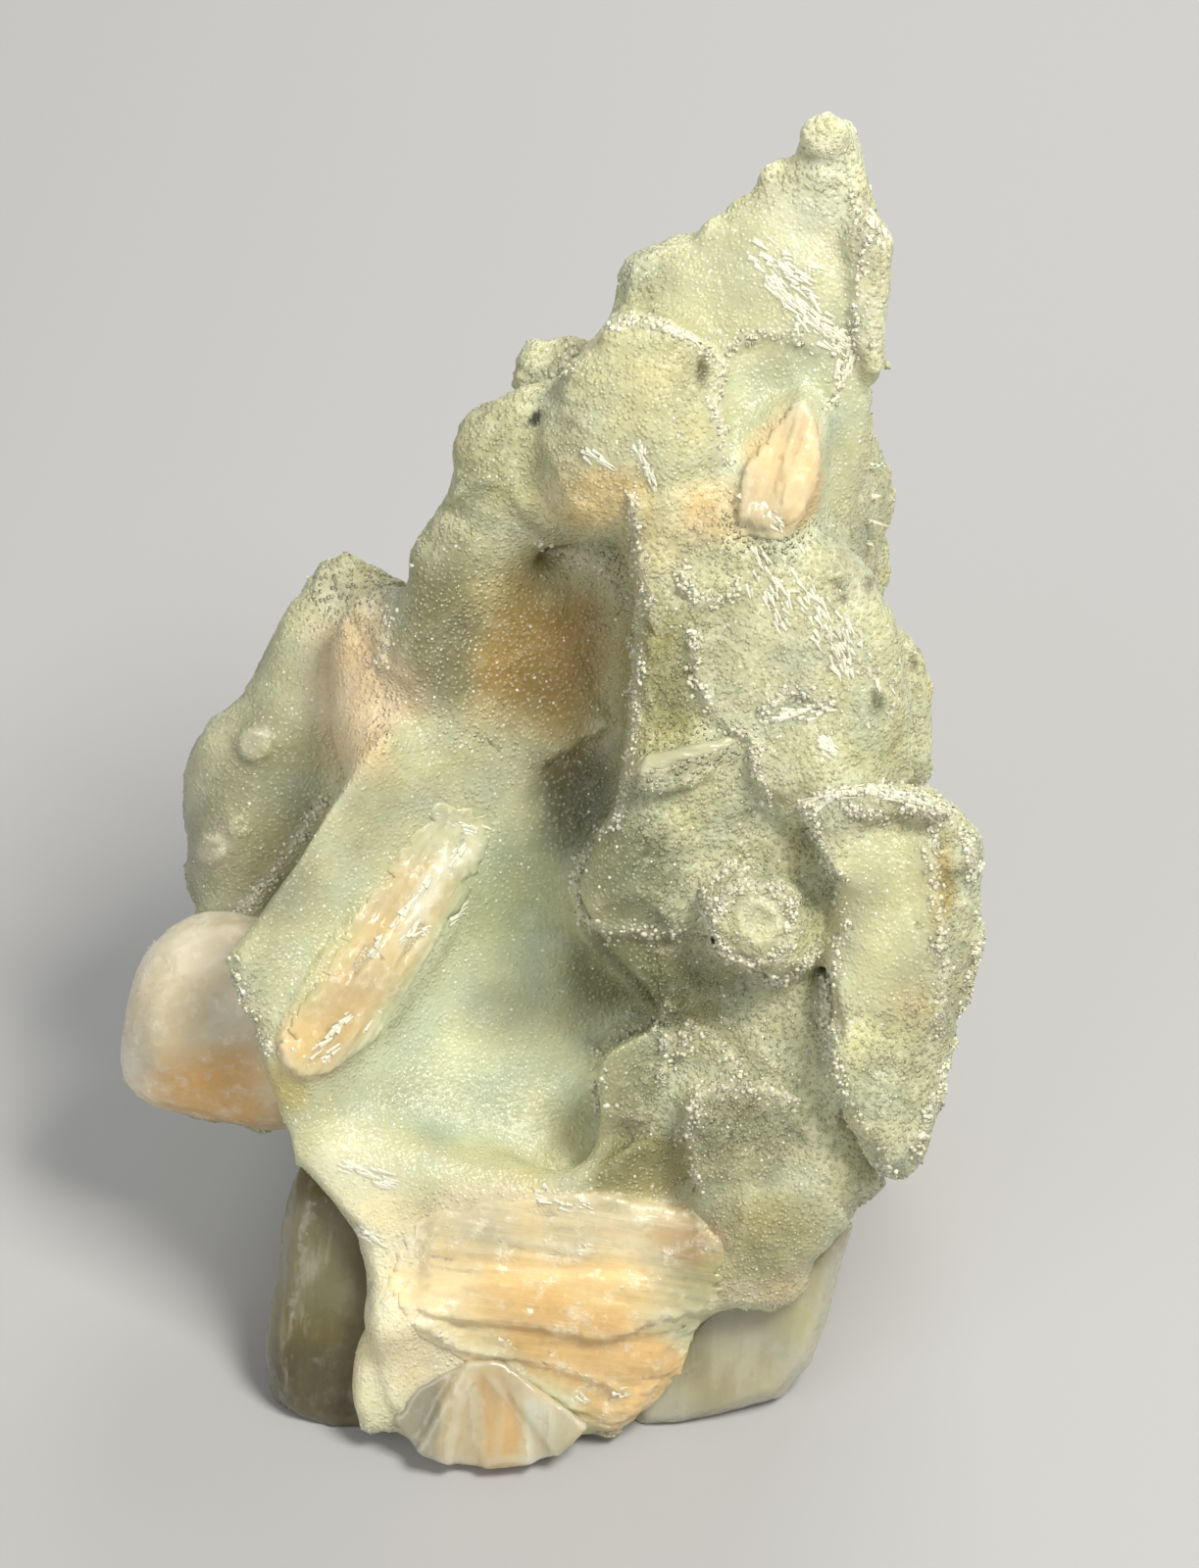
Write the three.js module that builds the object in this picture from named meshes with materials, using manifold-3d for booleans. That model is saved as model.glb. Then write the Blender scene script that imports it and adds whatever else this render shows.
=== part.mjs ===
// A zeolite specimen in millimetres, +Z up, resting on its flat cut base at z = 0.
// Forms are drawn on an upright drawing sheet that leans back with the specimen's face:
// x runs to the right, y runs up the sheet, and z comes out of the sheet.
import * as THREE from "three";
import { mergeVertices } from "three/addons/utils/BufferGeometryUtils.js";
import { ImprovedNoise } from "three/addons/math/ImprovedNoise.js";
import Module from "manifold-3d";

const wasm = await Module();
wasm.setup();

// Driving dimensions, in mm and degrees
const SHEET_LEAN = 48;          // turn of the drawing sheet about x, from lying flat
const SHEET_HEIGHT = 32.1;      // height of the sheet's origin above the cut base
const FACE_SLOPE = 0.23;        // the face comes forward this much per mm up the sheet
const GAP = 0.35;               // clearance between a crystal and what it grew in
const WAVE = 0.45;              // size of the slow waviness on grown surfaces
const WAVE_LENGTH = 6.5;        // length of that waviness
const KNURL = 0.16;             // size of the small unevenness on grown surfaces
const KNURL_LENGTH = 1.9;       // length of that unevenness
const CUT_REACH = 120;          // size of the block that trims the base flat
const MERGE = 0.0001;           // vertices nearer than this are one

const noise = new ImprovedNoise();

// Small mesh helpers

// Turns a geometry into a solid, with shared corners and no empty triangles.
function solidOf(geometry) {
  const bare = geometry.clone();
  bare.deleteAttribute("normal");
  bare.deleteAttribute("uv");
  const merged = mergeVertices(bare, MERGE);
  const index = Array.from(merged.index.array);
  const kept = [];
  for (let i = 0; i < index.length; i += 3) {
    const [a, b, c] = index.slice(i, i + 3);
    if (a !== b && b !== c && c !== a) {
      kept.push(a, b, c);
    }
  }
  const corners = new Float32Array(merged.attributes.position.array);
  const facesOut = signedVolume(corners, kept) > 0;
  const triangles = facesOut ? kept : kept.reverse();
  return new wasm.Manifold(new wasm.Mesh({
    numProp: 3,
    vertProperties: corners,
    triVerts: new Uint32Array(triangles),
  }));
}

// Volume inside a triangle list, negative where its faces point inwards.
function signedVolume(corners, index) {
  const at = (i) => new THREE.Vector3().fromArray(corners, i * 3);
  let volume = 0;
  for (let i = 0; i < index.length; i += 3) {
    volume += at(index[i]).dot(at(index[i + 1]).cross(at(index[i + 2]))) / 6;
  }
  return volume;
}

// Turns a solid back into a geometry.
function geometryOf(solid) {
  const mesh = solid.getMesh();
  const geometry = new THREE.BufferGeometry();
  geometry.setAttribute("position", new THREE.BufferAttribute(mesh.vertProperties, 3));
  geometry.setIndex(new THREE.BufferAttribute(mesh.triVerts, 1));
  geometry.computeVertexNormals();
  return geometry;
}

// The largest separate body of a solid: crumbs left by a cut are dropped.
function largest(solid) {
  const bodies = solid.decompose();
  bodies.sort((a, b) => b.volume() - a.volume());
  return bodies[0];
}

// Moves every corner of a geometry by a rule.
function reshape(geometry, rule) {
  const position = geometry.attributes.position;
  const point = new THREE.Vector3();
  for (let i = 0; i < position.count; i += 1) {
    point.fromBufferAttribute(position, i);
    rule(point);
    position.setXYZ(i, point.x, point.y, point.z);
  }
  return geometry;
}

// Waviness and small unevenness in space, the same for every form that is joined.
function weather(point) {
  const slow = point.clone().divideScalar(WAVE_LENGTH);
  const fine = point.clone().divideScalar(KNURL_LENGTH);
  const move = (seed) => WAVE * noise.noise(slow.x + seed, slow.y, slow.z)
    + KNURL * noise.noise(fine.x, fine.y + seed, fine.z);
  point.add(new THREE.Vector3(move(11.3), move(23.7), move(37.1)));
}

const sheetToWorld = new THREE.Matrix4()
  .makeTranslation(0, 0, SHEET_HEIGHT)
  .multiply(new THREE.Matrix4().makeRotationX(THREE.MathUtils.degToRad(SHEET_LEAN)));

// Depth of the specimen's mean face at height y on the sheet.
function faceDepth(y) {
  return FACE_SLOPE * y;
}

// Grown forms

// Rings of a lobe, as shares of the way from its middle to its rim.
const PLAIN_FRONT = [0, 0.8];
const FINE_FRONT = [0, 0.55, 0.88];
const BACK_RINGS = { point: [0], round: [0.72, 0], dish: [0.82, 0.5, 0] };

// A lobe with a traced outline: a crowned front, a rim, and a back that sinks into the body.
// out is the rim's height above the mean face, crisp sets how square the front is at the rim,
// fine gives the front one more ring and even leaves the faces flat. The back is a plain point
// where it is buried. It is round where it shows, and a dish, like a shallow bowl, for a hollow.
function lobe({ outline, out, front, back, crisp = 3, tilt = [0, 0], steps = 16, fine = false,
  behind = "point", even = false, grow = 0 }) {
  const curve = new THREE.CatmullRomCurve3(
    outline.map(([x, y]) => new THREE.Vector3(x, y, 0)), true, "catmullrom", 0.4);
  const rim = curve.getPoints(steps).slice(0, steps);
  const centre = new THREE.Vector3();
  rim.forEach((p) => centre.addScaledVector(p, 1 / steps));
  const frontProfile = (fine ? FINE_FRONT : PLAIN_FRONT).map((r) => new THREE.Vector2(
    r, front * Math.sqrt(1 - r ** crisp) + grow));
  const backProfile = BACK_RINGS[behind].map((r) => new THREE.Vector2(
    r, -back * (behind === "round" ? Math.sqrt(1 - r * r) : 1 - r * r) - grow));
  const profile = [...frontProfile, new THREE.Vector2(1, 0), ...backProfile];
  const geometry = new THREE.LatheGeometry(profile, steps);
  reshape(geometry, (p) => {
    const share = Math.hypot(p.x, p.z);
    const turn = Math.atan2(p.x, p.z) / (2 * Math.PI);
    const arm = rim[(Math.round(turn * steps) + steps) % steps].clone().sub(centre);
    arm.multiplyScalar(share * (1 + grow / arm.length()));
    const height = p.y;
    p.set(centre.x + arm.x, centre.y + arm.y, 0);
    p.z = height + out + faceDepth(p.y) + tilt[0] * arm.x + tilt[1] * arm.y;
  });
  geometry.applyMatrix4(sheetToWorld);
  return solidOf(even ? geometry : reshape(geometry, weather));
}

// A lumpy boss in world places, for the back and the foot of the cluster.
function boss({ at, size, detail = 1 }) {
  const geometry = new THREE.IcosahedronGeometry(1, detail);
  reshape(geometry, (p) => {
    p.set(at[0] + p.x * size[0], at[1] + p.y * size[1], at[2] + p.z * size[2]);
    weather(p);
  });
  return solidOf(geometry);
}

// The mass behind the face, from the foot to the spire: rounds of shrinking size on a leaning
// line, with uneven lumps. Each round has a height, a middle across and back, and two half widths.
function backMass(rounds, steps) {
  const heights = rounds.map(([height]) => height);
  const profile = [0, ...rounds.map(() => 1), 0].map((r, i) => new THREE.Vector2(
    r, heights[Math.min(Math.max(i - 1, 0), heights.length - 1)]));
  const geometry = new THREE.LatheGeometry(profile, steps);
  reshape(geometry, (p) => {
    const miss = heights.map((height) => Math.abs(height - p.y));
    const [height, across, back, wide, deep] = rounds[miss.indexOf(Math.min(...miss))];
    const lump = noise.noise(p.x * LUMP_TURN + 4.2, height / LUMP_HEIGHT, p.z * LUMP_TURN);
    const swell = 1 + LUMP * Math.round(lump * LEDGES) / LEDGES;
    p.set(across + p.x * wide * swell, back + p.z * deep * swell, height);
    weather(p);
  });
  return solidOf(geometry);
}

// Flat-faced crystals

// A bladed crystal: an outline with flat faces and one bevel round each face.
// at is its middle on the sheet and out the height of its middle above the mean face.
// turn is the way its long axis points, roll leans it about that axis and nod lifts its end.
function blade({ outline, thick, bevel, at, out, turn, nod = 0, roll = 0, grow = 0 }) {
  const shape = new THREE.Shape(outline.map(([x, y]) => new THREE.Vector2(x, y)));
  const geometry = new THREE.ExtrudeGeometry(shape, {
    depth: thick - 2 * bevel,
    bevelEnabled: true,
    bevelThickness: bevel + grow,
    bevelSize: bevel + grow,
    bevelOffset: -bevel,
    bevelSegments: 1,
  });
  geometry.translate(0, 0, bevel - thick / 2);
  const turned = new THREE.Matrix4().makeRotationZ(THREE.MathUtils.degToRad(turn));
  turned.multiply(new THREE.Matrix4().makeRotationX(THREE.MathUtils.degToRad(roll)));
  turned.multiply(new THREE.Matrix4().makeRotationY(THREE.MathUtils.degToRad(-nod)));
  turned.setPosition(at[0], at[1], out + faceDepth(at[1]));
  return solidOf(geometry.applyMatrix4(turned).applyMatrix4(sheetToWorld));
}

// The block below the base, which trims everything flat at z = 0.
function floorBlock() {
  const geometry = new THREE.BoxGeometry(CUT_REACH, CUT_REACH, CUT_REACH);
  return solidOf(geometry.translate(0, 0, -CUT_REACH / 2));
}

function joined(solids) {
  return solids.reduce((whole, next) => whole.add(next));
}

// The green druse matrix

// The body behind the face, and the shell of the smooth bowl.
const BODY = { out: -9, front: 7, back: 12, crisp: 4, steps: 16, outline: [[9, 22], [12.5, 20], [12.5, 12],
  [15.5, 6], [16.2, 0], [17.6, -5], [18, -10], [16.2, -17.5], [13, -22], [10.5, -27], [6, -31], [-1, -33],
  [-7.5, -33], [-10.8, -30], [-11.5, -26], [-15, -19.5], [-16.8, -14.5], [-17, -8.5], [-13, -1.5],
  [-9.4, 8], [-5, 15], [1, 20]] };
const BOWL_SHELL = { out: -0.5, front: 1.6, back: 12, crisp: 6, steps: 30, outline: [[-10.6, 4.4],
  [-13.3, 0.9], [-14.5, -0.6], [-15.6, -2.5], [-17.1, -4.7], [-18.4, -6.5], [-19.2, -7.9], [-19.1, -9.6],
  [-18.5, -11.8], [-17.6, -13.6], [-17.2, -15.5], [-17.1, -17.3], [-15.9, -20.2], [-11, -22.5],
  [-3, -23.5], [4, -22], [7.5, -16], [6.5, -8], [4.5, -2], [-0.6, 2], [-5.6, 5]] };

// Space inside the bowl: it deepens to the right, and runs in under the pillar.
const BOWL_HOLLOW = { out: -1.4, front: 14, back: 3.4, behind: "dish", tilt: [-0.24, 0.02], steps: 26,
  outline: [[-9.4, 3.8], [-12.5, 0.9], [-14.3, -1.4], [-15.8, -3.6], [-17.6, -6], [-18.4, -7.8], [-18.3, -9.6],
  [-17.6, -12], [-16.6, -14.6], [-16, -17.2], [-13.8, -19.4], [-9.2, -20.8], [-3.6, -21.2],
  [1.4, -20.4], [4.2, -17.8], [4.6, -13.1], [3.6, -9], [2.4, -5], [1.6, -1], [-1.4, 2.4], [-5.4, 4]] };

// Space of the deep recess between the left wall and the pillar.
const RECESS_HOLLOW = { out: -2.4, front: 12, back: 3.8, behind: "dish", tilt: [-0.32, 0], steps: 20,
  outline: [[1.6, 9.8], [-0.6, 11.4], [-2.5, 12], [-4.5, 11.4], [-6.5, 10], [-8.6, 8], [-10, 5.5], [-10.4, 2.7],
  [-8.9, 0.4], [-5.6, -2], [-2.8, -4], [-0.4, -5], [1.4, -1], [1.8, 5]] };

// The mass behind the face, in world places, and the bosses on it.
const LUMP = 0.5;               // how far its lumps stand out, as a share of its width
const LUMP_TURN = 1.7;          // how many lumps there are round it
const LUMP_HEIGHT = 7;          // how tall a lump is
const LEDGES = 5;               // how many steps a lump breaks into
const BACK_STEPS = 15;
const BACK_ROUNDS = [
  [-2, 0, 5, 12, 11],
  [4, 0.5, 6, 14.5, 12.5],
  [10, 1, 7, 15, 12.5],
  [16, 1, 8, 14, 12],
  [22, 1.5, 9.4, 12.6, 10.4],
  [28, 2.6, 11, 11.4, 8.8],
  [34, 4.4, 12.2, 9.6, 7.6],
  [40, 6.4, 13.2, 7.2, 6.4],
  [46, 8.6, 14, 4.8, 5],
  [52, 10, 15.4, 3, 3.4],
];
const BACK_BOSSES = [
  { at: [10, 8, 12], size: [8, 10, 11] },
  { at: [-8, 6, 10], size: [8, 8, 11] },
  { at: [7.6, 11, 29], size: [6, 6, 8] },
  { at: [-6, 12, 24], size: [6, 6, 7] },
];

// Left shoulder and the rough wall that falls from it into the recess.
const WALL_LOBES = [
  { out: -1.5, front: 2.2, back: 8, steps: 18, fine: true, outline: [[-8, 14], [-7.4, 15.5], [-7.5, 17.3],
    [-6.7, 18.8], [-5, 20], [-2.5, 21], [-0.5, 22.5], [2.5, 20], [3.5, 14], [0, 11.5], [-5, 12]] },
  { out: -2.4, front: 1.8, back: 8, steps: 18, fine: true, outline: [[-11, 6], [-10.5, 10], [-9.9, 12],
    [-8, 14.5], [-5, 15.5], [-2.5, 13], [-3, 9], [-6, 4], [-9.5, 3.6]] },
  { out: -6, front: 1.5, back: 4, steps: 10, outline: [[-3.6, 22.6], [-2.8, 23], [-1.1, 23.2], [0.4, 23.6],
    [0.4, 20], [-2.6, 19], [-4.9, 20], [-4.2, 21.6]] },
];

// Lobes on the face, from the tip down to the foot.
const FACE_LOBES = [
  // spire, its rounded tip, and the band down its right edge
  { out: -1.5, front: 2.6, back: 8, crisp: 4, steps: 22, fine: true, outline: [[9, 28.5], [11.5, 29.5],
    [13.8, 28.2], [14.5, 26.6], [14.1, 23], [13.9, 19.5], [13.9, 17], [13, 12], [11, 9], [6.5, 9.5],
    [2, 14], [-0.5, 19], [0, 23.5], [1, 26], [2, 27], [4.5, 27.5], [6.5, 28]] },
  { out: -1, front: 2, back: 3.4, behind: "round", outline: [[11.3, 33.4], [12.5, 33], [13.2, 31.5],
    [14, 28.5], [13, 26.5], [10.7, 25.6], [7.6, 27.6], [8.8, 30], [9.3, 31.4], [10, 32.8]] },
  { out: 0.2, front: 1.6, back: 2, steps: 10, outline: [[10.2, 33], [11.4, 33.4], [12.4, 32.8],
    [12.4, 31.6], [11.6, 30.8], [10.2, 31], [9.6, 32]] },
  { out: 0.4, front: 0.9, back: 3, crisp: 5, steps: 14, outline: [[12.6, 29.2], [13.9, 28.2], [14.6, 26.9],
    [14.1, 23], [13.9, 19.7], [12.9, 19.9], [12.6, 24], [12, 27.6]] },
  // hump that stands in front of the spire, with the thin face on its top
  { out: 0.5, front: 3.2, back: 7, crisp: 3.6, steps: 20, fine: true, outline: [[-1, 22.2], [0, 23.2],
    [1.6, 23.4], [3.8, 22.9], [5.2, 22.3], [6, 21.5], [6.4, 20], [6.2, 18], [6.7, 16], [6.9, 12.8],
    [4.9, 10], [1.7, 11.4], [-0.6, 12.4], [-2.5, 13.7], [-3.3, 16.2], [-2.9, 18.6], [-2.1, 20.4]] },
  { out: 2.6, front: 0.7, back: 3, crisp: 6, steps: 12, outline: [[-0.8, 22.4], [0.4, 23.3], [2, 23.2],
    [4.2, 22.7], [5.6, 21.9], [5.8, 20.6], [3.4, 21.2], [0.6, 21.4]] },
  // pillar below the hump, its foot, and the lobe beside the foot
  { out: 1.2, front: 2, back: 9, crisp: 5, steps: 23, fine: true, outline: [[1.6, 13.7], [1.3, 9.9],
    [1.1, 5], [0.7, 0.5], [0.2, -2.4], [-1.6, -4], [-1.9, -5.9], [-1.1, -7.3], [1.4, -7.6], [4.4, -7.9],
    [7.4, -5], [10.9, -3], [12.8, 4], [11.7, 10.8], [7.3, 12.8], [4.3, 14]] },
  { out: 2.2, front: 1.5, back: 4, crisp: 4, steps: 12, outline: [[-1.9, -5.4], [-1, -3.8], [0.8, -2.4],
    [2.4, -3.6], [3, -6], [2, -7.6], [0, -7.3], [-1.5, -7]] },
  { out: 2.6, front: 1.4, back: 4, crisp: 4, steps: 10, outline: [[1.8, -4.4], [3.6, -4], [4.8, -5.4],
    [4.6, -7.6], [3, -8], [1.7, -7.6], [1.5, -6]] },
  // druzy mass at the upper right, with its ledges and the lobe behind it
  { out: 1, front: 3, back: 9, crisp: 3, steps: 23, fine: true, outline: [[7.3, 12.4], [10.3, 13],
    [11.8, 13], [13.1, 11.8], [14.5, 10.8], [14.7, 9.3], [15.5, 8.1], [15.2, 7.2], [16, 4], [16.4, 1.7],
    [16.1, -0.2], [12.9, -2.5], [8.9, -2], [8, 0.6], [7.1, 2.6], [5.5, 4.1], [4.6, 5.9], [4.5, 8.4],
    [5, 10.8]] },
  { out: 2.6, front: 0.9, back: 3, crisp: 5, steps: 10, outline: [[4.2, 9.6], [4.8, 8.9], [6.4, 8.7],
    [7.6, 9.6], [8.4, 12], [6.6, 12.6], [4.8, 12]] },
  { out: 3, front: 1.6, back: 3, steps: 12, outline: [[8.2, 2.6], [9.2, 3.8], [11.4, 3.6], [13, 2],
    [13.4, -0.4], [12, -2], [9.4, -2], [7.8, -0.6]] },
  { out: -4.5, front: 2.4, back: 4, steps: 14, behind: "round", outline: [[15.8, 8.6], [16.9, 7.1],
    [17.6, 5.3], [17.5, 3.8], [17.1, 1.3], [16.8, -0.3], [13.7, -1], [12.1, 4.1], [12.5, 9]] },
  // plates below the pillar
  { out: 0.8, front: 1.6, back: 6, crisp: 5, outline: [[-1.1, -7.3], [-0.5, -8.4], [0.4, -9.7],
    [1.7, -10.4], [2.7, -11.8], [4.2, -11.6], [5.4, -9.6], [5.6, -7], [4.4, -5], [1.4, -5]] },
  { out: 0.2, front: 1.4, back: 6, crisp: 4, steps: 12, outline: [[4.6, -9], [5.4, -10.4], [7, -12],
    [8.6, -12.4], [9, -10], [8, -7.4], [5.8, -7]] },
  { out: 0.6, front: 1.5, back: 6, crisp: 4, steps: 12, outline: [[8, -10], [8.6, -12.6], [9.2, -14.8],
    [11.8, -15.6], [12.6, -12], [12, -9.4], [10, -9]] },
  { out: -0.6, front: 1.9, back: 6, crisp: 4, outline: [[-0.3, -12.9], [1.4, -12.5], [2.6, -12.1],
    [3.9, -12.8], [4.1, -15.2], [3.7, -17.2], [1.4, -17.5], [-0.3, -17.4], [-1.2, -15]] },
  { out: -0.9, front: 1.7, back: 6, crisp: 4, steps: 12, outline: [[3.6, -12.8], [6.1, -12.9], [7, -14.1],
    [7.9, -15.2], [7.6, -17], [4.6, -18], [3.4, -15.4]] },
  { out: -1.4, front: 1.2, back: 6, crisp: 5, steps: 12, outline: [[-0.6, -16.6], [4.6, -16.8], [5, -19.6],
    [4.8, -22.6], [1.4, -22.8], [-0.8, -21]] },
  { out: 0.8, front: 2.2, back: 7, crisp: 3.6, steps: 19, fine: true, outline: [[4.5, -15.7], [5.6, -15.3],
    [7, -14.9], [8.4, -15.5], [9.5, -15.2], [12.1, -15.9], [14.1, -19.3], [14.9, -20.7], [13.3, -22],
    [12.6, -23.9], [11.4, -25.8], [8.1, -25.8], [5.9, -23.5], [4.8, -22], [4.3, -18.8]] },
  // round bead on its plate, the plate above it, and the petal beside it
  { out: 2.2, front: 0.8, back: 4, crisp: 5, steps: 12, outline: [[7.4, -3.6], [10, -2.6], [12.2, -3.2],
    [12.6, -6.4], [11, -8], [8, -7], [6.2, -5]] },
  { out: 2.8, front: 0.8, back: 4, crisp: 5, outline: [[7.3, -4.6], [9.6, -5.2], [10.4, -7.2],
    [9.8, -9.2], [8.1, -10], [6.3, -9.5], [5.3, -8], [5.1, -6.2], [5.9, -5]] },
  { out: 3.1, front: 2.1, back: 2, steps: 14, fine: true, outline: [[7.9, -5.4], [9.3, -6], [9.9, -7.4],
    [9.2, -8.8], [7.9, -9.3], [6.6, -8.8], [6, -7.4], [6.6, -6]] },
  { out: 2.4, front: 1.2, back: 3, steps: 10, outline: [[10.5, -7.2], [11.8, -6.9], [12, -8.2],
    [11.2, -9.7], [9.4, -10.6], [8.2, -10.5], [8.8, -8.8]] },
  // slab at the right edge, and the broken layers on its top and side
  { out: 3.4, front: 1.9, back: 9, crisp: 5, tilt: [-0.12, 0], steps: 22, fine: true, outline: [
    [10.4, -2.1], [11.8, -0.8], [14.2, -0.2], [16.7, -0.3], [18.4, -1.5], [19, -3], [19.2, -6.2],
    [19, -9.9], [18.6, -11.7], [17.9, -13.1], [17.2, -16], [16.7, -18.3], [16, -19.9], [14.6, -20.4],
    [13.9, -19.4], [12.7, -17.5], [11.8, -15.5], [11.3, -13], [11.5, -9.9], [11.9, -7.4], [12.2, -4.9]] },
  { out: 4.6, front: 1, back: 3, crisp: 6, steps: 14, outline: [[10.3, -1.6], [11.8, -0.5], [14.2, 0.1],
    [16.8, 0], [18.2, -1.2], [16.8, -1.7], [14.6, -1.5], [12.6, -2.6], [11.2, -2.9]] },
  { out: 2.4, front: 1.4, back: 4, crisp: 5, steps: 14, outline: [[17.6, -1.4], [18.9, -2.6], [19.4, -5],
    [19.4, -9], [18.8, -11.8], [18, -12.4], [17.6, -8], [17.4, -4]] },
  { out: 1.6, front: 1.2, back: 4, steps: 10, outline: [[10.8, -14.4], [11.8, -14], [12.4, -16],
    [12.6, -17.6], [11.8, -17.2], [11, -16]] },
  // foot of the face, left of the sheaf and under it
  { out: -1, front: 1.3, back: 9, crisp: 5, steps: 18, outline: [[-16.2, -19.4], [-13.4, -22.3],
    [-12.3, -25.1], [-12.1, -28.3], [-12.2, -31], [-10.6, -34], [-8.4, -35.6], [-4, -36], [0, -33.6],
    [0, -28], [-2, -20], [-8, -18], [-13, -17]] },
  // lobe behind the left side, with its round knobs
  { out: -11, front: 3, back: 6, steps: 20, fine: true, behind: "round", outline: [[-13.2, 12.3],
    [-14.5, 11.9], [-15.5, 10.5], [-17, 8.3], [-18.4, 5.7], [-19.3, 4.4], [-20.8, 3.2], [-21.5, 1.6],
    [-22.4, 0], [-22.5, -3.1], [-22.4, -5.7], [-21.4, -7.4], [-18.5, -8.4], [-14.3, -5.3], [-9.5, 0],
    [-8.9, 9.3], [-10.9, 11.1]] },
  { out: -9.4, front: 1.6, back: 3, steps: 12, outline: [[-20.6, 3], [-18.6, 3.6], [-16.9, 2.4],
    [-16.9, -0.4], [-18.6, -1.6], [-20.8, -1], [-21.6, 1]] },
  { out: -8.2, front: 1.2, back: 2, steps: 10, outline: [[-18.6, 3.2], [-17.2, 2.8], [-16.8, 1.6],
    [-17.6, 0.6], [-19, 0.8], [-19.5, 2]] },
  { out: -8.8, front: 1.7, back: 3, steps: 12, outline: [[-20, -0.8], [-18.4, -1], [-17.6, -2.8],
    [-18.8, -4.8], [-20.8, -4.6], [-21.6, -2.8], [-21, -1.4]] },
];

// Small pits in the druse, at a place on the sheet and a height above the mean face.
const PITS = [
  { at: [5, 20.6, 3.6], size: 0.7 },
  { at: [-2.8, 18.4, 0.6], size: 0.6 },
  { at: [11.6, 9.6, 3.8], size: 0.8 },
  { at: [13.3, 10.1, 3.1], size: 0.6 },
  { at: [13.6, 4, 3.3], size: 0.7 },
];

// Small points that stand out from the right edge of the spire.
const THORNS = [
  { at: [13.8, 20.8, -2], length: 1.1, lean: 20 },
  { at: [13.2, 13.6, -1.6], length: 1.6, lean: 0 },
];

function placedOnSheet(geometry, at) {
  return solidOf(geometry.translate(at[0], at[1], at[2] + faceDepth(at[1])).applyMatrix4(sheetToWorld));
}

function pit({ at, size }) {
  return placedOnSheet(new THREE.IcosahedronGeometry(size, 0), at);
}

function thorn({ at, length, lean }) {
  const geometry = new THREE.OctahedronGeometry(1, 0);
  geometry.scale(length, length * 0.35, length * 0.35);
  geometry.rotateZ(THREE.MathUtils.degToRad(lean));
  return placedOnSheet(geometry, at);
}

function druseMatrix() {
  const bowl = joined([BODY, BOWL_SHELL].map(lobe)).subtract(lobe(BOWL_HOLLOW));
  const backed = bowl.add(backMass(BACK_ROUNDS, BACK_STEPS)).add(joined(BACK_BOSSES.map(boss)));
  const walled = backed.add(joined(WALL_LOBES.map(lobe)));
  const recessed = walled.subtract(lobe(RECESS_HOLLOW));
  const faced = recessed.add(joined(FACE_LOBES.map(lobe)));
  return faced.subtract(joined(PITS.map(pit))).add(joined(THORNS.map(thorn)));
}

// Crystals

// Pearly tooth at the left edge.
function leftTooth(grow = 0) {
  return lobe({ out: -9, front: 2.6, back: 3.4, crisp: 3.6, steps: 18, fine: true, behind: "round", even: true,
    tilt: [0.15, 0.1], grow,
    outline: [[-19.5, -7], [-21.2, -7.2], [-22.6, -7.7], [-24, -9.2], [-24.7, -11], [-25.4, -13.7],
      [-25.5, -15.1], [-25, -16.4], [-23.9, -17.1], [-21.2, -17.7], [-17.8, -18.4], [-13, -17], [-12.6, -9]] });
}

// Peach blade that lies in the bowl, with a second thinner layer on its upper side.
function bowlBlade(grow = 0) {
  const place = { at: [-11.2, -7.9], turn: 53, roll: 2, nod: -10, grow };
  const lower = blade({ ...place, thick: 4.6, bevel: 0.6, out: -3.9, outline: [[-9.4, -1.6], [-9.6, 0.8],
    [-7.6, 2.4], [0, 2.5], [8, 2.2], [9.6, 1], [9.2, -1.4], [6, -2.2], [-6, -2.6]] });
  const upper = blade({ ...place, thick: 2, bevel: 0.3, out: -2.1, outline: [[-8.6, -1.4], [-8.8, 0.6],
    [-6, 1.2], [0.6, 1], [5.4, 0.7], [5, -0.6], [0, -1.6]] });
  return lower.add(upper);
}

// Peach blade between the hump and the spire.
function upperBlade(grow = 0) {
  return blade({ at: [9, 15.6], out: 1.6, thick: 3.4, bevel: 0.5, turn: 66, roll: -14, grow,
    outline: [[-3.8, -2.1], [-4, 1.8], [0, 2.2], [2.8, 1.4], [4, 0.2], [3.4, -1.1], [0, -2]] });
}

// Pink-brown crystal across the back of the recess.
function recessCrystal(grow = 0) {
  return lobe({ out: -5.6, front: 1.4, back: 4, crisp: 6, steps: 16, even: true, grow, tilt: [-0.3, 0],
    outline: [[-7.8, 9], [-5.2, 11], [-2.6, 12], [-0.4, 11.4], [2.4, 9.9], [3.4, 6], [2.6, 3.4],
      [-2.6, 0.4], [-6, -0.4], [-8.8, 1], [-9.4, 5]] });
}

// Peach crystal seen at the left of the recess.
function sideCrystal(grow = 0) {
  return lobe({ out: -6, front: 1.2, back: 3, crisp: 8, steps: 14, even: true, grow, outline: [
    [-14.2, 9.2], [-12.6, 10.3], [-11, 10.4], [-10.6, 7], [-10.6, 3], [-11, 0.4], [-14.1, 0.3], [-14.5, 5]] });
}

// Thin clear blade that lies across the pillar.
function clearSplinter(grow = 0) {
  return blade({ at: [4.5, 1.3], out: 3.4, thick: 1, bevel: 0.15, turn: 14, roll: 12, grow,
    outline: [[-2.7, -0.6], [-2.5, 0.3], [2.6, 0.5], [2.8, 0.1], [0, -0.9]] });
}

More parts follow.
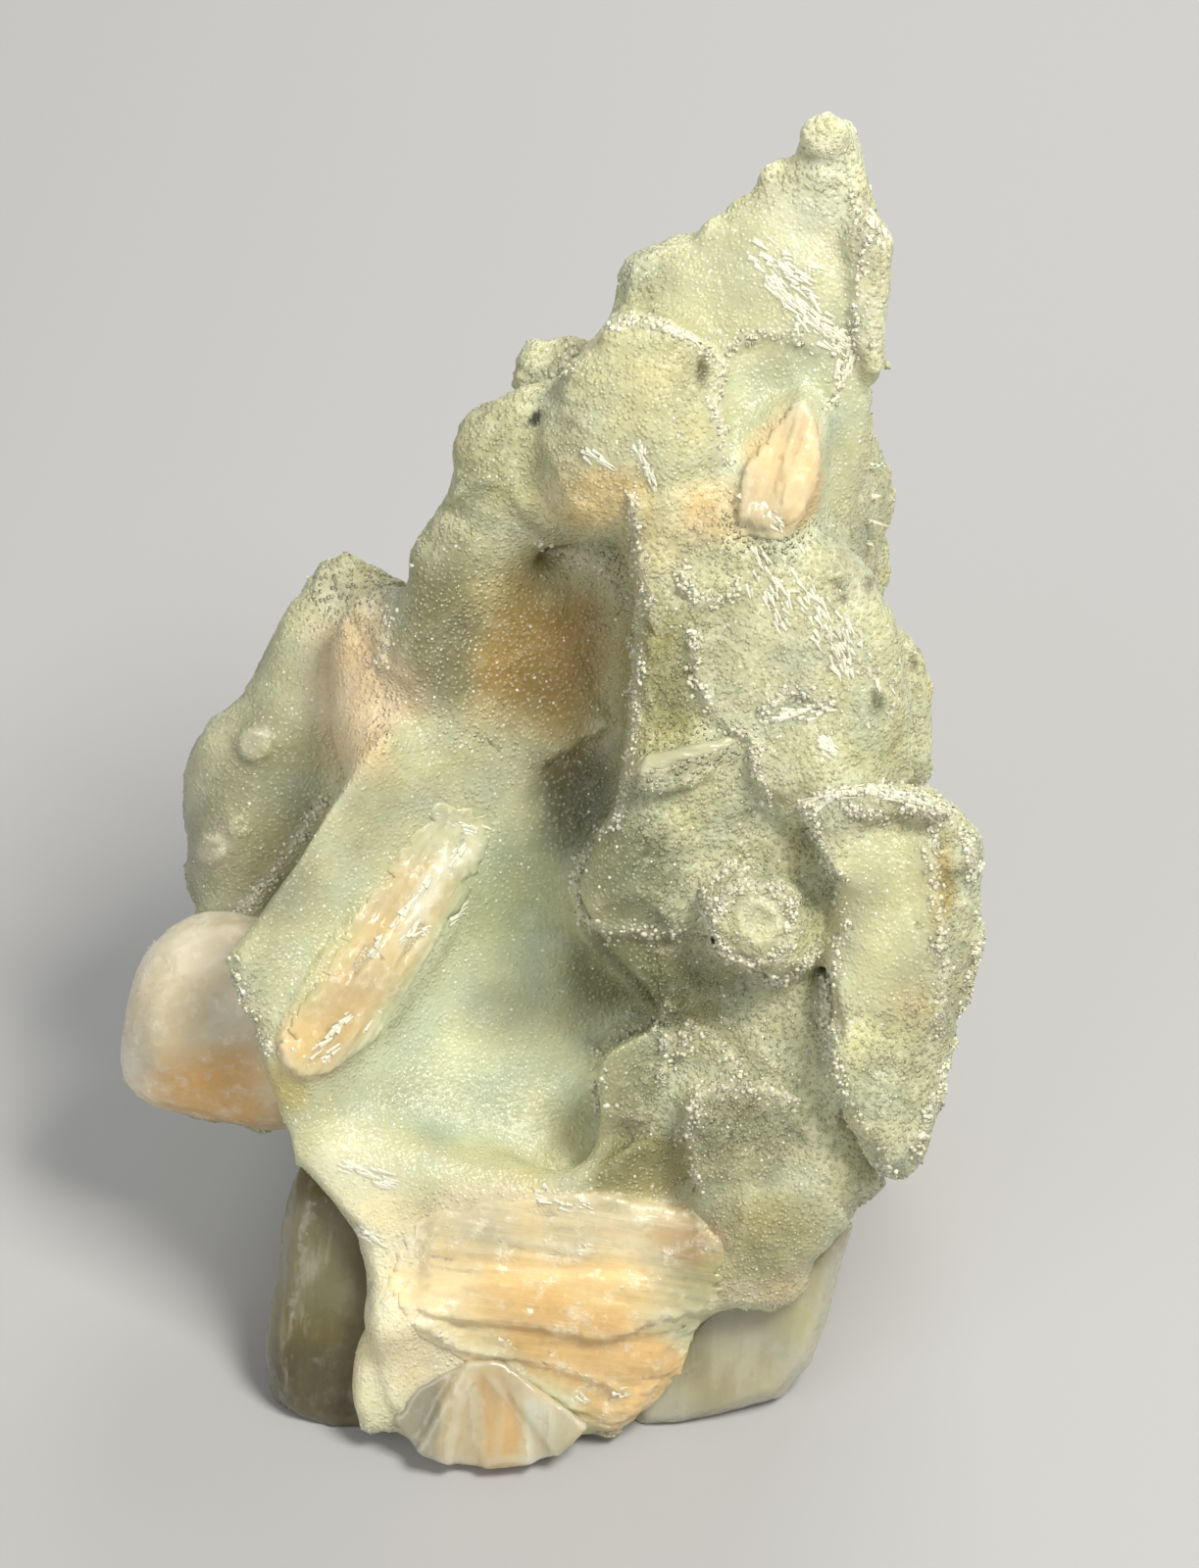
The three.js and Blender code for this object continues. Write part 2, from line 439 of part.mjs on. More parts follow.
// Flat plates of the peach sheaf at the foot, one on the next.
const SHEAF_PLATES = [
  { out: -0.9, front: 1.5, back: 6, steps: 16, outline: [[-10.5, -25.7], [-10.1, -22.4], [-8.7, -21.2],
    [-3.1, -21.1], [-1.2, -20.5], [1.5, -21], [4.7, -22.4], [6.7, -25.1], [7, -27.1], [4.5, -28.4],
    [-0.6, -28.6], [-7.2, -28.2]] },
  { out: 0.1, front: 1, back: 6, steps: 12, outline: [[-10.3, -26], [-4.7, -25.6], [0, -25.4], [5.8, -26],
    [4.8, -28.4], [0.6, -29], [-4, -28.4], [-8, -28]] },
  { out: -0.2, front: 0.9, back: 6, steps: 12, outline: [[-10, -27.4], [-6.7, -27.8], [-2.6, -28.2],
    [4.4, -28], [4, -30.8], [1.6, -31.2], [-2.6, -30.4], [-7.2, -29.2]] },
  { out: -0.6, front: 0.9, back: 6, steps: 12, outline: [[-7, -29.4], [-2.6, -30], [4, -30.2],
    [2.6, -32.4], [0.9, -34.3], [-0.6, -34.4], [-2, -32.8], [-4.4, -31]] },
];

function baseSheaf(grow = 0) {
  return joined(SHEAF_PLATES.map((plate) => lobe({ ...plate, crisp: 7, even: true, grow })));
}

// Small fan under the sheaf: wedges that spread from one point and stand up in turn.
// The room that it takes is one plain wedge round them all.
const FAN_POINT = new THREE.Vector2(-6.4, -29.4);
const FAN_RIM = [[-11, -33], [-9.4, -35], [-7.9, -35.6], [-5.9, -35.8], [-3.7, -35.6], [-2.2, -35.1],
  [-0.8, -33.8]].map(([x, y]) => new THREE.Vector2(x, y));
const FAN_LIFT = [0, 0.7, 0.2, 0.6, 0.1, 0.5];
const FAN_OUT = 0.9;
const FAN_DEPTH = 6;
const FAN_LAP = 0.07;

function fanPrism(corners, lift, grow) {
  const middle = corners.reduce((sum, p) => sum.add(p), new THREE.Vector2()).divideScalar(corners.length);
  const outline = corners.map((p) => {
    const arm = p.clone().sub(middle);
    return middle.clone().addScaledVector(arm, 1 + 2 * grow / arm.length());
  });
  const prism = new THREE.ExtrudeGeometry(new THREE.Shape(outline), {
    depth: FAN_DEPTH + lift + 2 * grow,
    bevelEnabled: false,
  });
  reshape(prism, (p) => {
    p.z += faceDepth(p.y) + FAN_OUT - FAN_DEPTH - grow;
  });
  return solidOf(prism.applyMatrix4(sheetToWorld));
}

function baseFan(grow = 0) {
  if (grow > 0) {
    return fanPrism([FAN_POINT, ...FAN_RIM], Math.max(...FAN_LIFT), grow);
  }
  return joined(FAN_LIFT.map((lift, i) => {
    const from = FAN_RIM[i].clone().lerp(FAN_RIM[i + 1], -FAN_LAP);
    const to = FAN_RIM[i + 1].clone().lerp(FAN_RIM[i], -FAN_LAP);
    const start = FAN_POINT.clone().lerp(from.clone().lerp(to, 0.5), -FAN_LAP);
    return fanPrism([start, from, to], lift, grow);
  }));
}

// Clear block at the right of the foot.
function clearBlock(grow = 0) {
  return lobe({ out: -3.4, front: 1.6, back: 9, crisp: 9, steps: 14, behind: "round", even: true, grow,
    outline: [[4.1, -29.2], [6.2, -26.6], [10.1, -26], [12.1, -24.6], [13.6, -22.6], [12.6, -25.5],
      [12, -28.1], [10.9, -31.1], [8.8, -33], [4.6, -34.2], [2, -34.9], [0.4, -33.4]] });
}

// Grey block at the left of the foot.
function greyBlock(grow = 0) {
  return lobe({ out: -3.6, front: 1.6, back: 10, crisp: 7, steps: 14, behind: "round", even: true, grow,
    outline: [[-15.9, -20.2], [-16.7, -23.6], [-16.9, -26.5], [-17.7, -28.9], [-17.6, -32.1],
      [-16.8, -33.8], [-14.2, -35.6], [-11.1, -36.6], [-8.6, -36.4], [-7.4, -32], [-9, -26],
      [-12.6, -20.4]] });
}

// Crystals in the order in which they keep their room: each gives way to the ones before it.
const CRYSTALS = [
  { name: "left_tooth", make: leftTooth, color: 0xe0cbb0, roughness: 0.3 },
  { name: "bowl_blade", make: bowlBlade, color: 0xead69d, roughness: 0.35 },
  { name: "upper_blade", make: upperBlade, color: 0xf0d9a4, roughness: 0.4 },
  { name: "recess_crystal", make: recessCrystal, color: 0x9a7f55, roughness: 0.35 },
  { name: "side_crystal", make: sideCrystal, color: 0xd7c69a, roughness: 0.4 },
  { name: "clear_splinter", make: clearSplinter, color: 0xc8c8b0, roughness: 0.12 },
  { name: "base_fan", make: baseFan, color: 0xd8bc87, roughness: 0.2 },
  { name: "base_sheaf", make: baseSheaf, color: 0xe6cf98, roughness: 0.4 },
  { name: "clear_block", make: clearBlock, color: 0xb6a77c, roughness: 0.15 },
  { name: "grey_block", make: greyBlock, color: 0x8e8862, roughness: 0.2 },
];
const MATRIX = { name: "druse_matrix", color: 0xc9cba4, roughness: 0.6 };

function namedMesh({ name, color, roughness }, solid) {
  const material = new THREE.MeshStandardMaterial({ color, roughness, metalness: 0 });
  const mesh = new THREE.Mesh(geometryOf(solid), material);
  mesh.name = name;
  return mesh;
}

// The specimen: every crystal, then the matrix with a pocket round each of them.
const specimen = new THREE.Group();
const floorCut = floorBlock();
let taken = floorCut;
for (const crystal of CRYSTALS) {
  specimen.add(namedMesh(crystal, largest(crystal.make().subtract(taken))));
  taken = taken.add(crystal.make(GAP));
}
specimen.add(namedMesh(MATRIX, largest(druseMatrix().subtract(taken))));

// The origin is the middle of the whole specimen, on the ground.
const middle = new THREE.Box3().setFromObject(specimen).getCenter(new THREE.Vector3());
specimen.position.set(-middle.x, -middle.y, 0);

export default specimen;
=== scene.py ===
# A leaning zeolite cluster: pale green druse with a smooth bowl, peach blades and clear crystals.
# Sizes are in metres unless a name says otherwise.
import itertools
import math
import random

import bmesh
import bpy
import numpy as np
from bpy.props import FloatProperty, FloatVectorProperty, IntProperty, PointerProperty
from mathutils import Matrix, Vector
from mathutils.bvhtree import BVHTree


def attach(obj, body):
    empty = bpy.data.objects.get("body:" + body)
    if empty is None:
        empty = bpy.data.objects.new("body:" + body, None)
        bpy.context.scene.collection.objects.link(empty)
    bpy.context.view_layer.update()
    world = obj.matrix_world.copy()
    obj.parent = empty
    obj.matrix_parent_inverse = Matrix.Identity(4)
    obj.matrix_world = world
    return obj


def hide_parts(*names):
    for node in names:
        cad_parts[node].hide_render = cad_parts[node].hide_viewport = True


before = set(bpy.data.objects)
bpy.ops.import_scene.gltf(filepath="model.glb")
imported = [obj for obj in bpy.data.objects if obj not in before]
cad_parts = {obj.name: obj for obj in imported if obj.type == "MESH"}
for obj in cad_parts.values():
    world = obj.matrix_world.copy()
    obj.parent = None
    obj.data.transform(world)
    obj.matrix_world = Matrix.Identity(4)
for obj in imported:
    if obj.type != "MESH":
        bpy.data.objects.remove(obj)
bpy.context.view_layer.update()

bl_info = {
    "name": "Zeolite Specimen",
    "version": (1, 0, 0),
    "blender": (4, 5, 0),
    "location": "3D View > Sidebar > Specimen",
    "description": "Dresses a druse cluster with its grains, blades and clear crystals",
    "category": "Add Mesh",
}

BODY = "root"

# The drawing sheet leans back with the crystal face. Places on it are in mm, and so are heights over
# the mean face, which rises by its slope for each mm up the sheet.
MM = 0.001
SHEET_LEAN = math.radians(48)
SHEET_ORIGIN = Vector((3.037, -0.986, 32.1)) * MM
SHEET_TURN = Matrix.Rotation(SHEET_LEAN, 3, "X")
FACING = SHEET_TURN @ Vector((0, 0, 1))
FACE_SLOPE = 0.23

# The camera looks square at the sheet.
CAMERA_DISTANCE = 0.240
CAMERA_LENS_MM = 108
NEAREST_SEEN = 0.01


def colour(name, description, rgb):
    return FloatVectorProperty(name=name, description=description, subtype="COLOR", size=3,
                               min=0, max=1, default=rgb)


def length(name, description, default):
    return FloatProperty(name=name, description=description, subtype="DISTANCE", unit="LENGTH",
                         default=default)


class DruseProps(bpy.types.PropertyGroup):
    """Sizes and colours of the green druse."""
    voxel: length("Fineness", "Edge of the smallest step in the surface", 0.00027)
    knob: length("Knob Width", "Width of the round knobs that the crust grows in", 0.0013)
    knob_rise: length("Knob Rise", "Height of the round knobs", 0.00008)
    ledge_rise: length("Ledge Rise", "Height of the small steps in the crust", 0.00018)
    levelling: IntProperty(name="Levelling", description="Rounds of smoothing in the smooth places",
                           default=320)
    fine_rise: length("Fine Rise", "Height of the finest bumps", 0.00004)
    keep: FloatProperty(name="Kept Faces", description="Share of the crust's faces that are kept",
                        subtype="FACTOR", min=0, max=1, default=0.52)
    spacing: length("Grain Spacing", "Least distance between two druse grains", 0.00024)
    grain: length("Grain Size", "Length of a usual druse grain", 0.0002)
    pale: colour("Pale Green", "Colour of the crust where it is thin", (0.58, 0.59, 0.37))
    # Deep Green is also the painted shade in the hollows and at the ledges' feet.
    deep: colour("Deep Green", "Colour of the crust in its hollows", (0.14, 0.15, 0.06))
    # The rims are painted lighter as frost, and also as glow of light through their thin edges.
    rim: colour("Rim", "Colour of the frosted rims", (0.92, 0.89, 0.66))
    glow: length("Glow Depth", "How far light travels in the crust", 0.0009)
    bead: length("Bead Size", "Radius of a usual bead on a rim", 0.00017)
    bead_spacing: length("Bead Spacing", "Length of a bright rim for each bead", 0.000045)
    flake: length("Flake Size", "Length of a usual frost flake", 0.0006)


class CrystalProps(bpy.types.PropertyGroup):
    """Sizes and colours of the larger crystals."""
    grow: length("Growth", "How far a crystal fills the gap round it", 0.00036)
    skin: length("Skin", "Thickness of the crystals that the crust holds flush", 0.0006)
    skin_lift: length("Skin Lift", "How far such a crystal stands out", 0.00002)
    glow: length("Glow Depth", "How far light travels in the blades", 0.0008)
    cream: colour("Cream", "Colour of the blades' frosted edges", (0.95, 0.91, 0.72))
    pearl: colour("Pearl", "Colour of the tooth", (0.72, 0.64, 0.46))


class StageProps(bpy.types.PropertyGroup):
    """The floor and the lights."""
    floor: colour("Floor", "Colour of the floor", (0.46, 0.46, 0.46))
    key: FloatProperty(name="Key Light", description="Power of the main light", unit="POWER",
                       default=0.95)
    fill: FloatProperty(name="Fill Light", description="Power of the two soft lights", unit="POWER",
                        default=0.42)
    sky: FloatProperty(name="Sky", description="Strength of the even light", default=0.30, min=0)
    seed: IntProperty(name="Seed", description="Start of every random choice", default=7)


# Node trees


class Link:
    """A socket that can be used in arithmetic: an expression adds the nodes that it needs."""

    def __init__(self, nodes, socket):
        self.nodes = nodes
        self.socket = socket

    def _math(self, operation, *values):
        return self.nodes.add("ShaderNodeMath", {"operation": operation}, dict(enumerate(values)))

    def __add__(self, other):
        return self._math("ADD", self, other)

    __radd__ = __add__

    def __sub__(self, other):
        return self._math("SUBTRACT", self, other)

    def __rsub__(self, other):
        return self._math("SUBTRACT", other, self)

    def __mul__(self, other):
        return self._math("MULTIPLY", self, other)

    __rmul__ = __mul__

    def at_most(self, other):
        return self._math("MINIMUM", self, other)

    def span(self, low, high):
        """0 at low and 1 at high, with a soft start and end."""
        return self.nodes.add("ShaderNodeMapRange", {"interpolation_type": "SMOOTHSTEP"},
                              {"Value": self, "From Min": low, "From Max": high})


class Nodes:
    """A node tree that is written as calls and expressions."""

    def __init__(self, tree):
        self.tree = tree
        tree.nodes.clear()

    def add(self, kind, settings=None, inputs=None, output=0):
        """One node: its settings are set first, then the values or links of its sockets."""
        made = self.tree.nodes.new(kind)
        for key, value in (settings or {}).items():
            setattr(made, key, value)
        for key, value in (inputs or {}).items():
            if isinstance(value, Link):
                self.tree.links.new(value.socket, made.inputs[key])
            elif value is not None:
                made.inputs[key].default_value = value
        return Link(self, made.outputs[output]) if made.outputs else made


class Paint(Nodes):
    """A material's nodes, with the patterns that the crystals share."""

    def __init__(self, name):
        self.material = bpy.data.materials.new(name)
        self.material.use_nodes = True
        super().__init__(self.material.node_tree)
        self.place = self.add("ShaderNodeTexCoord", output="Object")

    def noise(self, size, detail=2.0, roughness=0.5, place=None):
        """Soft noise from 0 to 1, whose blotches are size across."""
        return self.add("ShaderNodeTexNoise", None, {
            "Vector": place or self.place, "Scale": 1 / size, "Detail": detail, "Roughness": roughness})

    def cells(self, size, output="Distance"):
        """Cells that are size across: how far their middles are, or a random colour for each."""
        return self.add("ShaderNodeTexVoronoi", None, {"Vector": self.place, "Scale": 1 / size}, output)

    def attribute(self, name, output="Fac"):
        """A number or a colour that the mesh holds at its vertices."""
        return self.add("ShaderNodeAttribute", {"attribute_name": name}, output=output)

    def mix(self, factor, first, second):
        """The first colour where factor is 0, and the second where it is 1."""
        settings = {"data_type": "RGBA", "clamp_factor": True}
        def as_input(shade):
            return shade if isinstance(shade, Link) else (*shade, 1.0)
        return self.add("ShaderNodeMix", settings,
                        {0: factor, 6: as_input(first), 7: as_input(second)}, 2)

    def stretched(self, along, ratio):
        """Coordinates in which a pattern is drawn out ratio times along a direction."""
        turn = along.rotation_difference(Vector((0, 0, 1))).to_euler()
        turned = self.add("ShaderNodeMapping", None, {"Vector": self.place, "Rotation": tuple(turn)})
        return self.add("ShaderNodeVectorMath", {"operation": "MULTIPLY"},
                        {0: turned, 1: (1.0, 1.0, 1.0 / ratio)})

    def bump(self, height, depth, normal=None):
        """A normal tilted by a height from 0 to 1, where 1 stands for a depth in metres."""
        return self.add("ShaderNodeBump", None, {"Height": height, "Distance": depth, "Normal": normal})

    def facets(self, size, tilt):
        """A normal that leans another way in each small cell, as on sugary crystals."""
        luck = self.cells(size, "Color")
        lean = self.add("ShaderNodeVectorMath", {"operation": "SUBTRACT"}, {0: luck, 1: (0.5, 0.5, 0.5)})
        lean = self.add("ShaderNodeVectorMath", {"operation": "SCALE"}, {0: lean, "Scale": tilt})
        normal = self.add("ShaderNodeNewGeometry", output="Normal")
        normal = self.add("ShaderNodeVectorMath", {"operation": "ADD"}, {0: normal, 1: lean})
        return self.add("ShaderNodeVectorMath", {"operation": "NORMALIZE"}, {0: normal})

    def surface(self, inputs, seam=None):
        """Ends the material in a principled surface. Where seam is 1, no light travels under it."""
        shader = self.add("ShaderNodeBsdfPrincipled", None, inputs)
        if seam:
            plain = self.add("ShaderNodeBsdfPrincipled", None, {**inputs, "Subsurface Weight": 0.0})
            shader = self.add("ShaderNodeMixShader", None, {0: seam, 1: shader, 2: plain})
        self.add("ShaderNodeOutputMaterial", None, {"Surface": shader})
        return self.material


# Mesh work


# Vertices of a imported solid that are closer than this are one.
MERGE_DISTANCE = 1e-7


def new_piece(name, mesh, material, replaced=()):
    """A finished piece of the object, riding with the cluster."""
    piece = bpy.data.objects.new(name, mesh)
    bpy.context.scene.collection.objects.link(piece)
    mesh.materials.clear()
    mesh.materials.append(material)
    for node in replaced:
        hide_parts(node)
    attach(piece, BODY)
    return piece


def merged_copy(node):
    """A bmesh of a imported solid, with its doubles merged."""
    bm = bmesh.new()
    bm.from_mesh(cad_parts[node].data)
    bmesh.ops.remove_doubles(bm, verts=bm.verts, dist=MERGE_DISTANCE)
    return bm


def grow(bm, step):
    """Moves every face of a solid out by about a step, and keeps its base on the ground."""
    bm.normal_update()
    for vert in bm.verts:
        vert.co += vert.normal * step
        vert.co.z = max(vert.co.z, 0.0)


def mesh_of(bm, name):
    """The mesh that a bmesh holds. The bmesh is freed."""
    mesh = bpy.data.meshes.new(name)
    bm.to_mesh(mesh)
    bm.free()
    return mesh


def with_modifiers(mesh, modifiers):
    """The mesh that a list of modifiers makes of a mesh. Each is a type and its settings."""
    helper = bpy.data.objects.new("helper", mesh)
    bpy.context.scene.collection.objects.link(helper)
    for kind, settings in modifiers:
        modifier = helper.modifiers.new(kind, kind)
        for key, value in settings.items():
            setattr(modifier, key, value)
    graph = bpy.context.evaluated_depsgraph_get()
    made = bpy.data.meshes.new_from_object(helper.evaluated_get(graph))
    bpy.data.objects.remove(helper)
    return made


def vertex_data(mesh, name):
    """Three numbers for each vertex: its place, "co", or its normal."""
    values = np.empty(len(mesh.vertices) * 3)
    mesh.vertices.foreach_get(name, values)
    return values.reshape(-1, 3)


def move_to(mesh, points):
    """Moves the vertices, and keeps the base flat on the ground."""
    points[:, 2] = np.maximum(points[:, 2], 0.0)
    mesh.vertices.foreach_set("co", points.ravel())
    mesh.update()


def write_attribute(mesh, name, values):
    attribute = mesh.attributes.new(name, "FLOAT", "POINT")
    attribute.data.foreach_set("value", np.asarray(values, dtype=np.float32))


def attribute_of(mesh, name):
    values = np.empty(len(mesh.vertices), dtype=np.float32)
    mesh.attributes[name].data.foreach_get("value", values)
    return values


def edge_ends(mesh):
    """The two vertices of each edge."""
    ends = np.empty(len(mesh.edges) * 2, dtype=int)
    mesh.edges.foreach_get("vertices", ends)
    return ends.reshape(-1, 2)


def evened(mesh, values, rounds):
    """Values at the vertices, averaged with their neighbours again and again."""
    count = len(mesh.vertices)
    ends = edge_ends(mesh)
    one, other = ends.T
    neighbours = np.bincount(ends.ravel(), minlength=count).clip(1)[:, None]
    for _ in range(rounds):
        total = np.empty_like(values)
        for axis in range(values.shape[1]):
            column = values[:, axis]
            total[:, axis] = np.bincount(one, column[other], count) + np.bincount(other, column[one], count)
        values = 0.5 * values + 0.5 * total / neighbours
    return values


def levelled(mesh, points, share, rounds):
    """Points moved towards their neighbours again and again, as far as their share lets them."""
    ends = edge_ends(mesh)
    ends = ends[(share[ends] > 0).any(1)]
    used, ends = np.unique(ends, return_inverse=True)
    one, other = ends.reshape(-1, 2).T
    part = points[used]
    count = len(used)
    pull = 0.5 * share[used] / np.bincount(ends.ravel(), minlength=count)
    for _ in range(rounds):
        run = part[other] - part[one]
        for axis in range(3):
            step = np.bincount(one, run[:, axis], count) - np.bincount(other, run[:, axis], count)
            part[:, axis] += pull * step
    points[used] = part
    return points


def bulge(mesh, rounds):
    """How far each vertex stands out from the surface round it, in metres."""
    points = vertex_data(mesh, "co")
    return ((points - evened(mesh, points, rounds)) * vertex_data(mesh, "normal")).sum(1)


def ramp(values, low, high):
    """0 at low and 1 at high, with a soft start and end."""
    share = np.clip((values - low) / (high - low), 0, 1)
    return share * share * (3 - 2 * share)


def stairs(values):
    """Values made into steps one unit high."""
    tread = np.floor(values)
    return tread + ramp(values - tread, 0.4, 0.6)


# Large odd numbers that scatter the bits of a cell's x, y and z, of a seed, and of their mix.
CELL_SCATTER = (73856093, 19349663, 83492791)
SEED_SCATTER = 40503
MIX_SCATTER = 1274126177
LOW_BITS = 0xFFFF
# How much soft noise is raised, because it seldom comes near its ends.
WAVE_GAIN = 1.6
# How fast a round knob falls off round its middle.
KNOB_FALL = 1.6


def chance_at(cells, seed):
    """A number from 0 to 1 for each cell of a grid, always the same one for the same cell and seed."""
    mixed = seed * SEED_SCATTER
    for axis, scatter in enumerate(CELL_SCATTER):
        mixed = mixed ^ cells[:, axis] * scatter
    mixed = (mixed ^ (mixed >> 13)) * MIX_SCATTER
    return ((mixed ^ (mixed >> 16)) & LOW_BITS) / LOW_BITS


def wave(points, size, seed=0):
    """Soft noise from -1 to 1 at each point."""
    place = points / size
    cells = np.floor(place).astype(np.int64)
    share = place - cells
    eased = share ** 3 * (share * (share * 6 - 15) + 10)
    total = np.zeros(len(points))
    for corner in itertools.product((0, 1), repeat=3):
        slope = sum((2 * chance_at(cells + corner, 3 * seed + axis) - 1) * (share[:, axis] - corner[axis])
                    for axis in range(3))
        total += slope * np.prod(np.where(corner, eased, 1 - eased), axis=1)
    return np.clip(WAVE_GAIN * total, -1, 1)


def waves(points, size, seeds):
    """Soft noise from -1 to 1 at each point, once for each seed."""
    return np.stack([wave(points, size, seed) for seed in seeds], axis=1)


def knobs(points, size):
    """Round knobs from 0 to 1: highest in the middle of each cell."""
    place = points / size
    cells = np.floor(place).astype(np.int64)
    nearest = np.full(len(points), np.inf)
    for step in itertools.product((-1, 0, 1), repeat=3):
        there = cells + step
        middle = np.stack([chance_at(there, seed) for seed in (101, 102, 103)], axis=1) + there
        nearest = np.minimum(nearest, ((place - middle) ** 2).sum(1))
    return np.clip(1 - nearest * KNOB_FALL, 0, 1)


# Places on the crystal face


# Heights over the mean face, in mm, between which what lies on the face fades in: its forms, its rims
# and its flush crystals.
FORM_DEPTH = (-12.0, -9.0)
RIM_DEPTH = (-13.0, -11.0)
SKIN_DEPTH = (-14.0, -12.0)
# A flat layer reaches only this far up and down, in mm.
SHELF_REACH = 5


def magnified(rise):
    """How much larger the camera sees what stands a rise in mm over the sheet."""
    return CAMERA_DISTANCE / MM / (CAMERA_DISTANCE / MM - rise)


def seen_places(points):
    """Where the camera sees each point on the sheet, in mm, and its height over the mean face."""
    flat = (points - np.array(SHEET_ORIGIN)) @ np.array(SHEET_TURN.transposed()).T / MM
    larger = magnified(flat[:, 2])
    flat[:, 2] -= FACE_SLOPE * flat[:, 1]
    flat[:, :2] *= larger[:, None]
    return flat


def spot_at(x, y, height):
    """The point that the camera sees at a place on the sheet, at a height over the mean face."""
    rise = height + FACE_SLOPE * y
    larger = magnified(rise)
    return SHEET_ORIGIN + SHEET_TURN @ (Vector((x / larger, y / larger, rise)) * MM)


def sheet_turn(degrees):
    """A direction on the sheet, turned from its x towards its y."""
    return Matrix.Rotation(math.radians(degrees), 3, FACING) @ Vector((1, 0, 0))


def raised(points, rise):
    """Points moved towards the camera by a rise in mm."""
    return points + np.array(FACING) * (rise * MM)[:, None]


def facing_share(mesh, low, high):
    """0 to 1 for how far each vertex faces the camera."""
    return ramp(vertex_data(mesh, "normal") @ np.array(FACING), low, high)


def zone_share(places, middle, half, turn, sharp):
    """1 inside a rounded oval on the sheet, falling to 0 at its edge."""
    angle = math.radians(turn)
    across = places[:, 0] - middle[0]
    up = places[:, 1] - middle[1]
    along_x = across * math.cos(angle) + up * math.sin(angle)
    along_y = up * math.cos(angle) - across * math.sin(angle)
    away = np.cbrt(np.abs(along_x / half[0]) ** 3 + np.abs(along_y / half[1]) ** 3)
    return ramp(1 - away, 0.0, 1.0 / sharp)


def outline_share(places, outline, soft):
    """1 inside a closed outline on the sheet, falling to 0 across a soft edge."""
    share = np.zeros(len(places))
    near = ((places[:, :2] > np.min(outline, axis=0) - soft)
            & (places[:, :2] < np.max(outline, axis=0) + soft)).all(1)
    places = places[near]
    x, y = places[:, 0], places[:, 1]
    inside = np.zeros(len(places), dtype=bool)
    for (x1, y1), (x2, y2) in zip(outline, [*outline[1:], outline[0]]):
        if y1 != y2:
            inside ^= ((y1 > y) != (y2 > y)) & (x < (x2 - x1) * (y - y1) / (y2 - y1) + x1)
    reach, _ = ledge_reach(places, [*outline, outline[0]])
    share[near] = ramp(np.where(inside, 1, -1) * np.abs(reach), -soft / 2, soft / 2)
    return share


# Smooth places on the face. A zone is a rounded oval: its middle on the sheet, half widths, turn in
# degrees, how sudden its edge is, and its weight.
SMOOTH_ZONES = {
    "bowl": ((-7.5, -9.4), (10.7, 12.8), 0, 6, 1),
    "panel": ((-12.0, -24.4), (4.0, 9.4), 14, 5, 1),
    "wall": ((-4.6, 5.4), (7.4, 8.6), 0, 4, 0.8),
    "spire": ((9.6, 18.8), (5.0, 6.4), 0, 3, 1),
    "crest": ((8.6, 25.0), (6.4, 6.0), 30, 2.4, 0.95),
    "hump": ((2.6, 18.0), (4.8, 6.4), 0, 3, 0.6),
    "right mass": ((10.8, 5.4), (6.0, 7.6), 0, 2, 0.45),
    "upper left": ((-3.4, 15.4), (5.4, 5.4), 0, 2, 0.4),
    "slab": ((14.6, -6.8), (3.2, 5.4), -6, 3, 1),
    "left lobe": ((-17.6, -0.4), (6.4, 11.0), -20, 3, 1),
    "low face": ((7.5, -22.6), (5.5, 4.6), 0, 3, 0.6),
    "sheaf": ((-2.6, -25.2), (11.8, 7.8), 0, 3, 0.95),
    "button": ((8.2, -7.0), (1.6, 1.6), 0, 3, 0.6),
}
# Places whose clefts are levelled.
LEVEL_ZONES = {
    "bowl": ((-7.5, -9.4), (10.7, 12.8), 0, 6, 0.7),
    "slab": ((14.2, -8.6), (2.6, 6.4), -6, 4, 0.6),
    "left lobe": ((-17.0, -0.4), (4.4, 9.0), -20, 3, 0.6),
    "wall": ((-4.6, 5.4), (7.4, 8.6), 0, 4, 1),
    "foot lobes": ((4.4, -11.0), (8.4, 8.0), 0, 3, 0.5),
    "right mass": ((11.0, 7.0), (7.6, 9.0), 0, 3, 0.35),
    "hump": ((2.4, 19.0), (6.4, 7.0), 0, 3, 0.35),
    "strip": ((-12.2, 4.0), (4.4, 7.6), 0, 3, 0.8),
    "crest": ((8.4, 28.9), (3.4, 1.8), 45, 3, 0.7),
    "fan": ((-5.8, -31.4), (6.6, 4.0), 0, 3, 0.9),
    "low face": ((7.5, -22.6), (5.5, 5.0), 0, 3, 0.7),
}


def zones_share(places, zones):
    """How far inside any of the zones each place is."""
    share = np.zeros(len(places))
    for *zone, weight in zones.values():
        share = np.maximum(share, weight * zone_share(places, *zone))
    return share * ramp(places[:, 2], *FORM_DEPTH)


# Lumps of crust that fill clefts and fill out edges: middle on the sheet with its height, and half
# widths, in mm.
FILLS = [
    ((7.7, -13.3, -1.0), (2.9, 2.8, 2.9)),
    ((-10.2, 6.4, -6.0), (1.6, 4.4, 2.6)),
    ((-11.4, 1.4, -3.8), (2.2, 2.8, 2.5)),
    ((-11.3, -30.4, -1.2), (1.4, 3.2, 1.8)),
    ((-10.6, -27.2, -0.6), (1.5, 2.6, 2.0)),
    ((-9.2, -27.4, 0.0), (2.2, 2.4, 1.5)),
    ((6.8, 28.0, -0.6), (1.8, 1.1, 1.1)),
    ((8.1, 29.0, -0.6), (1.7, 1.3, 1.1)),
    ((9.3, 30.4, -0.6), (1.3, 1.5, 1.1)),
    ((6.6, -23.8, -1.4), (4.8, 3.2, 3.0)),
    ((8.7, -25.2, -0.9), (2.9, 1.7, 2.2)),
]
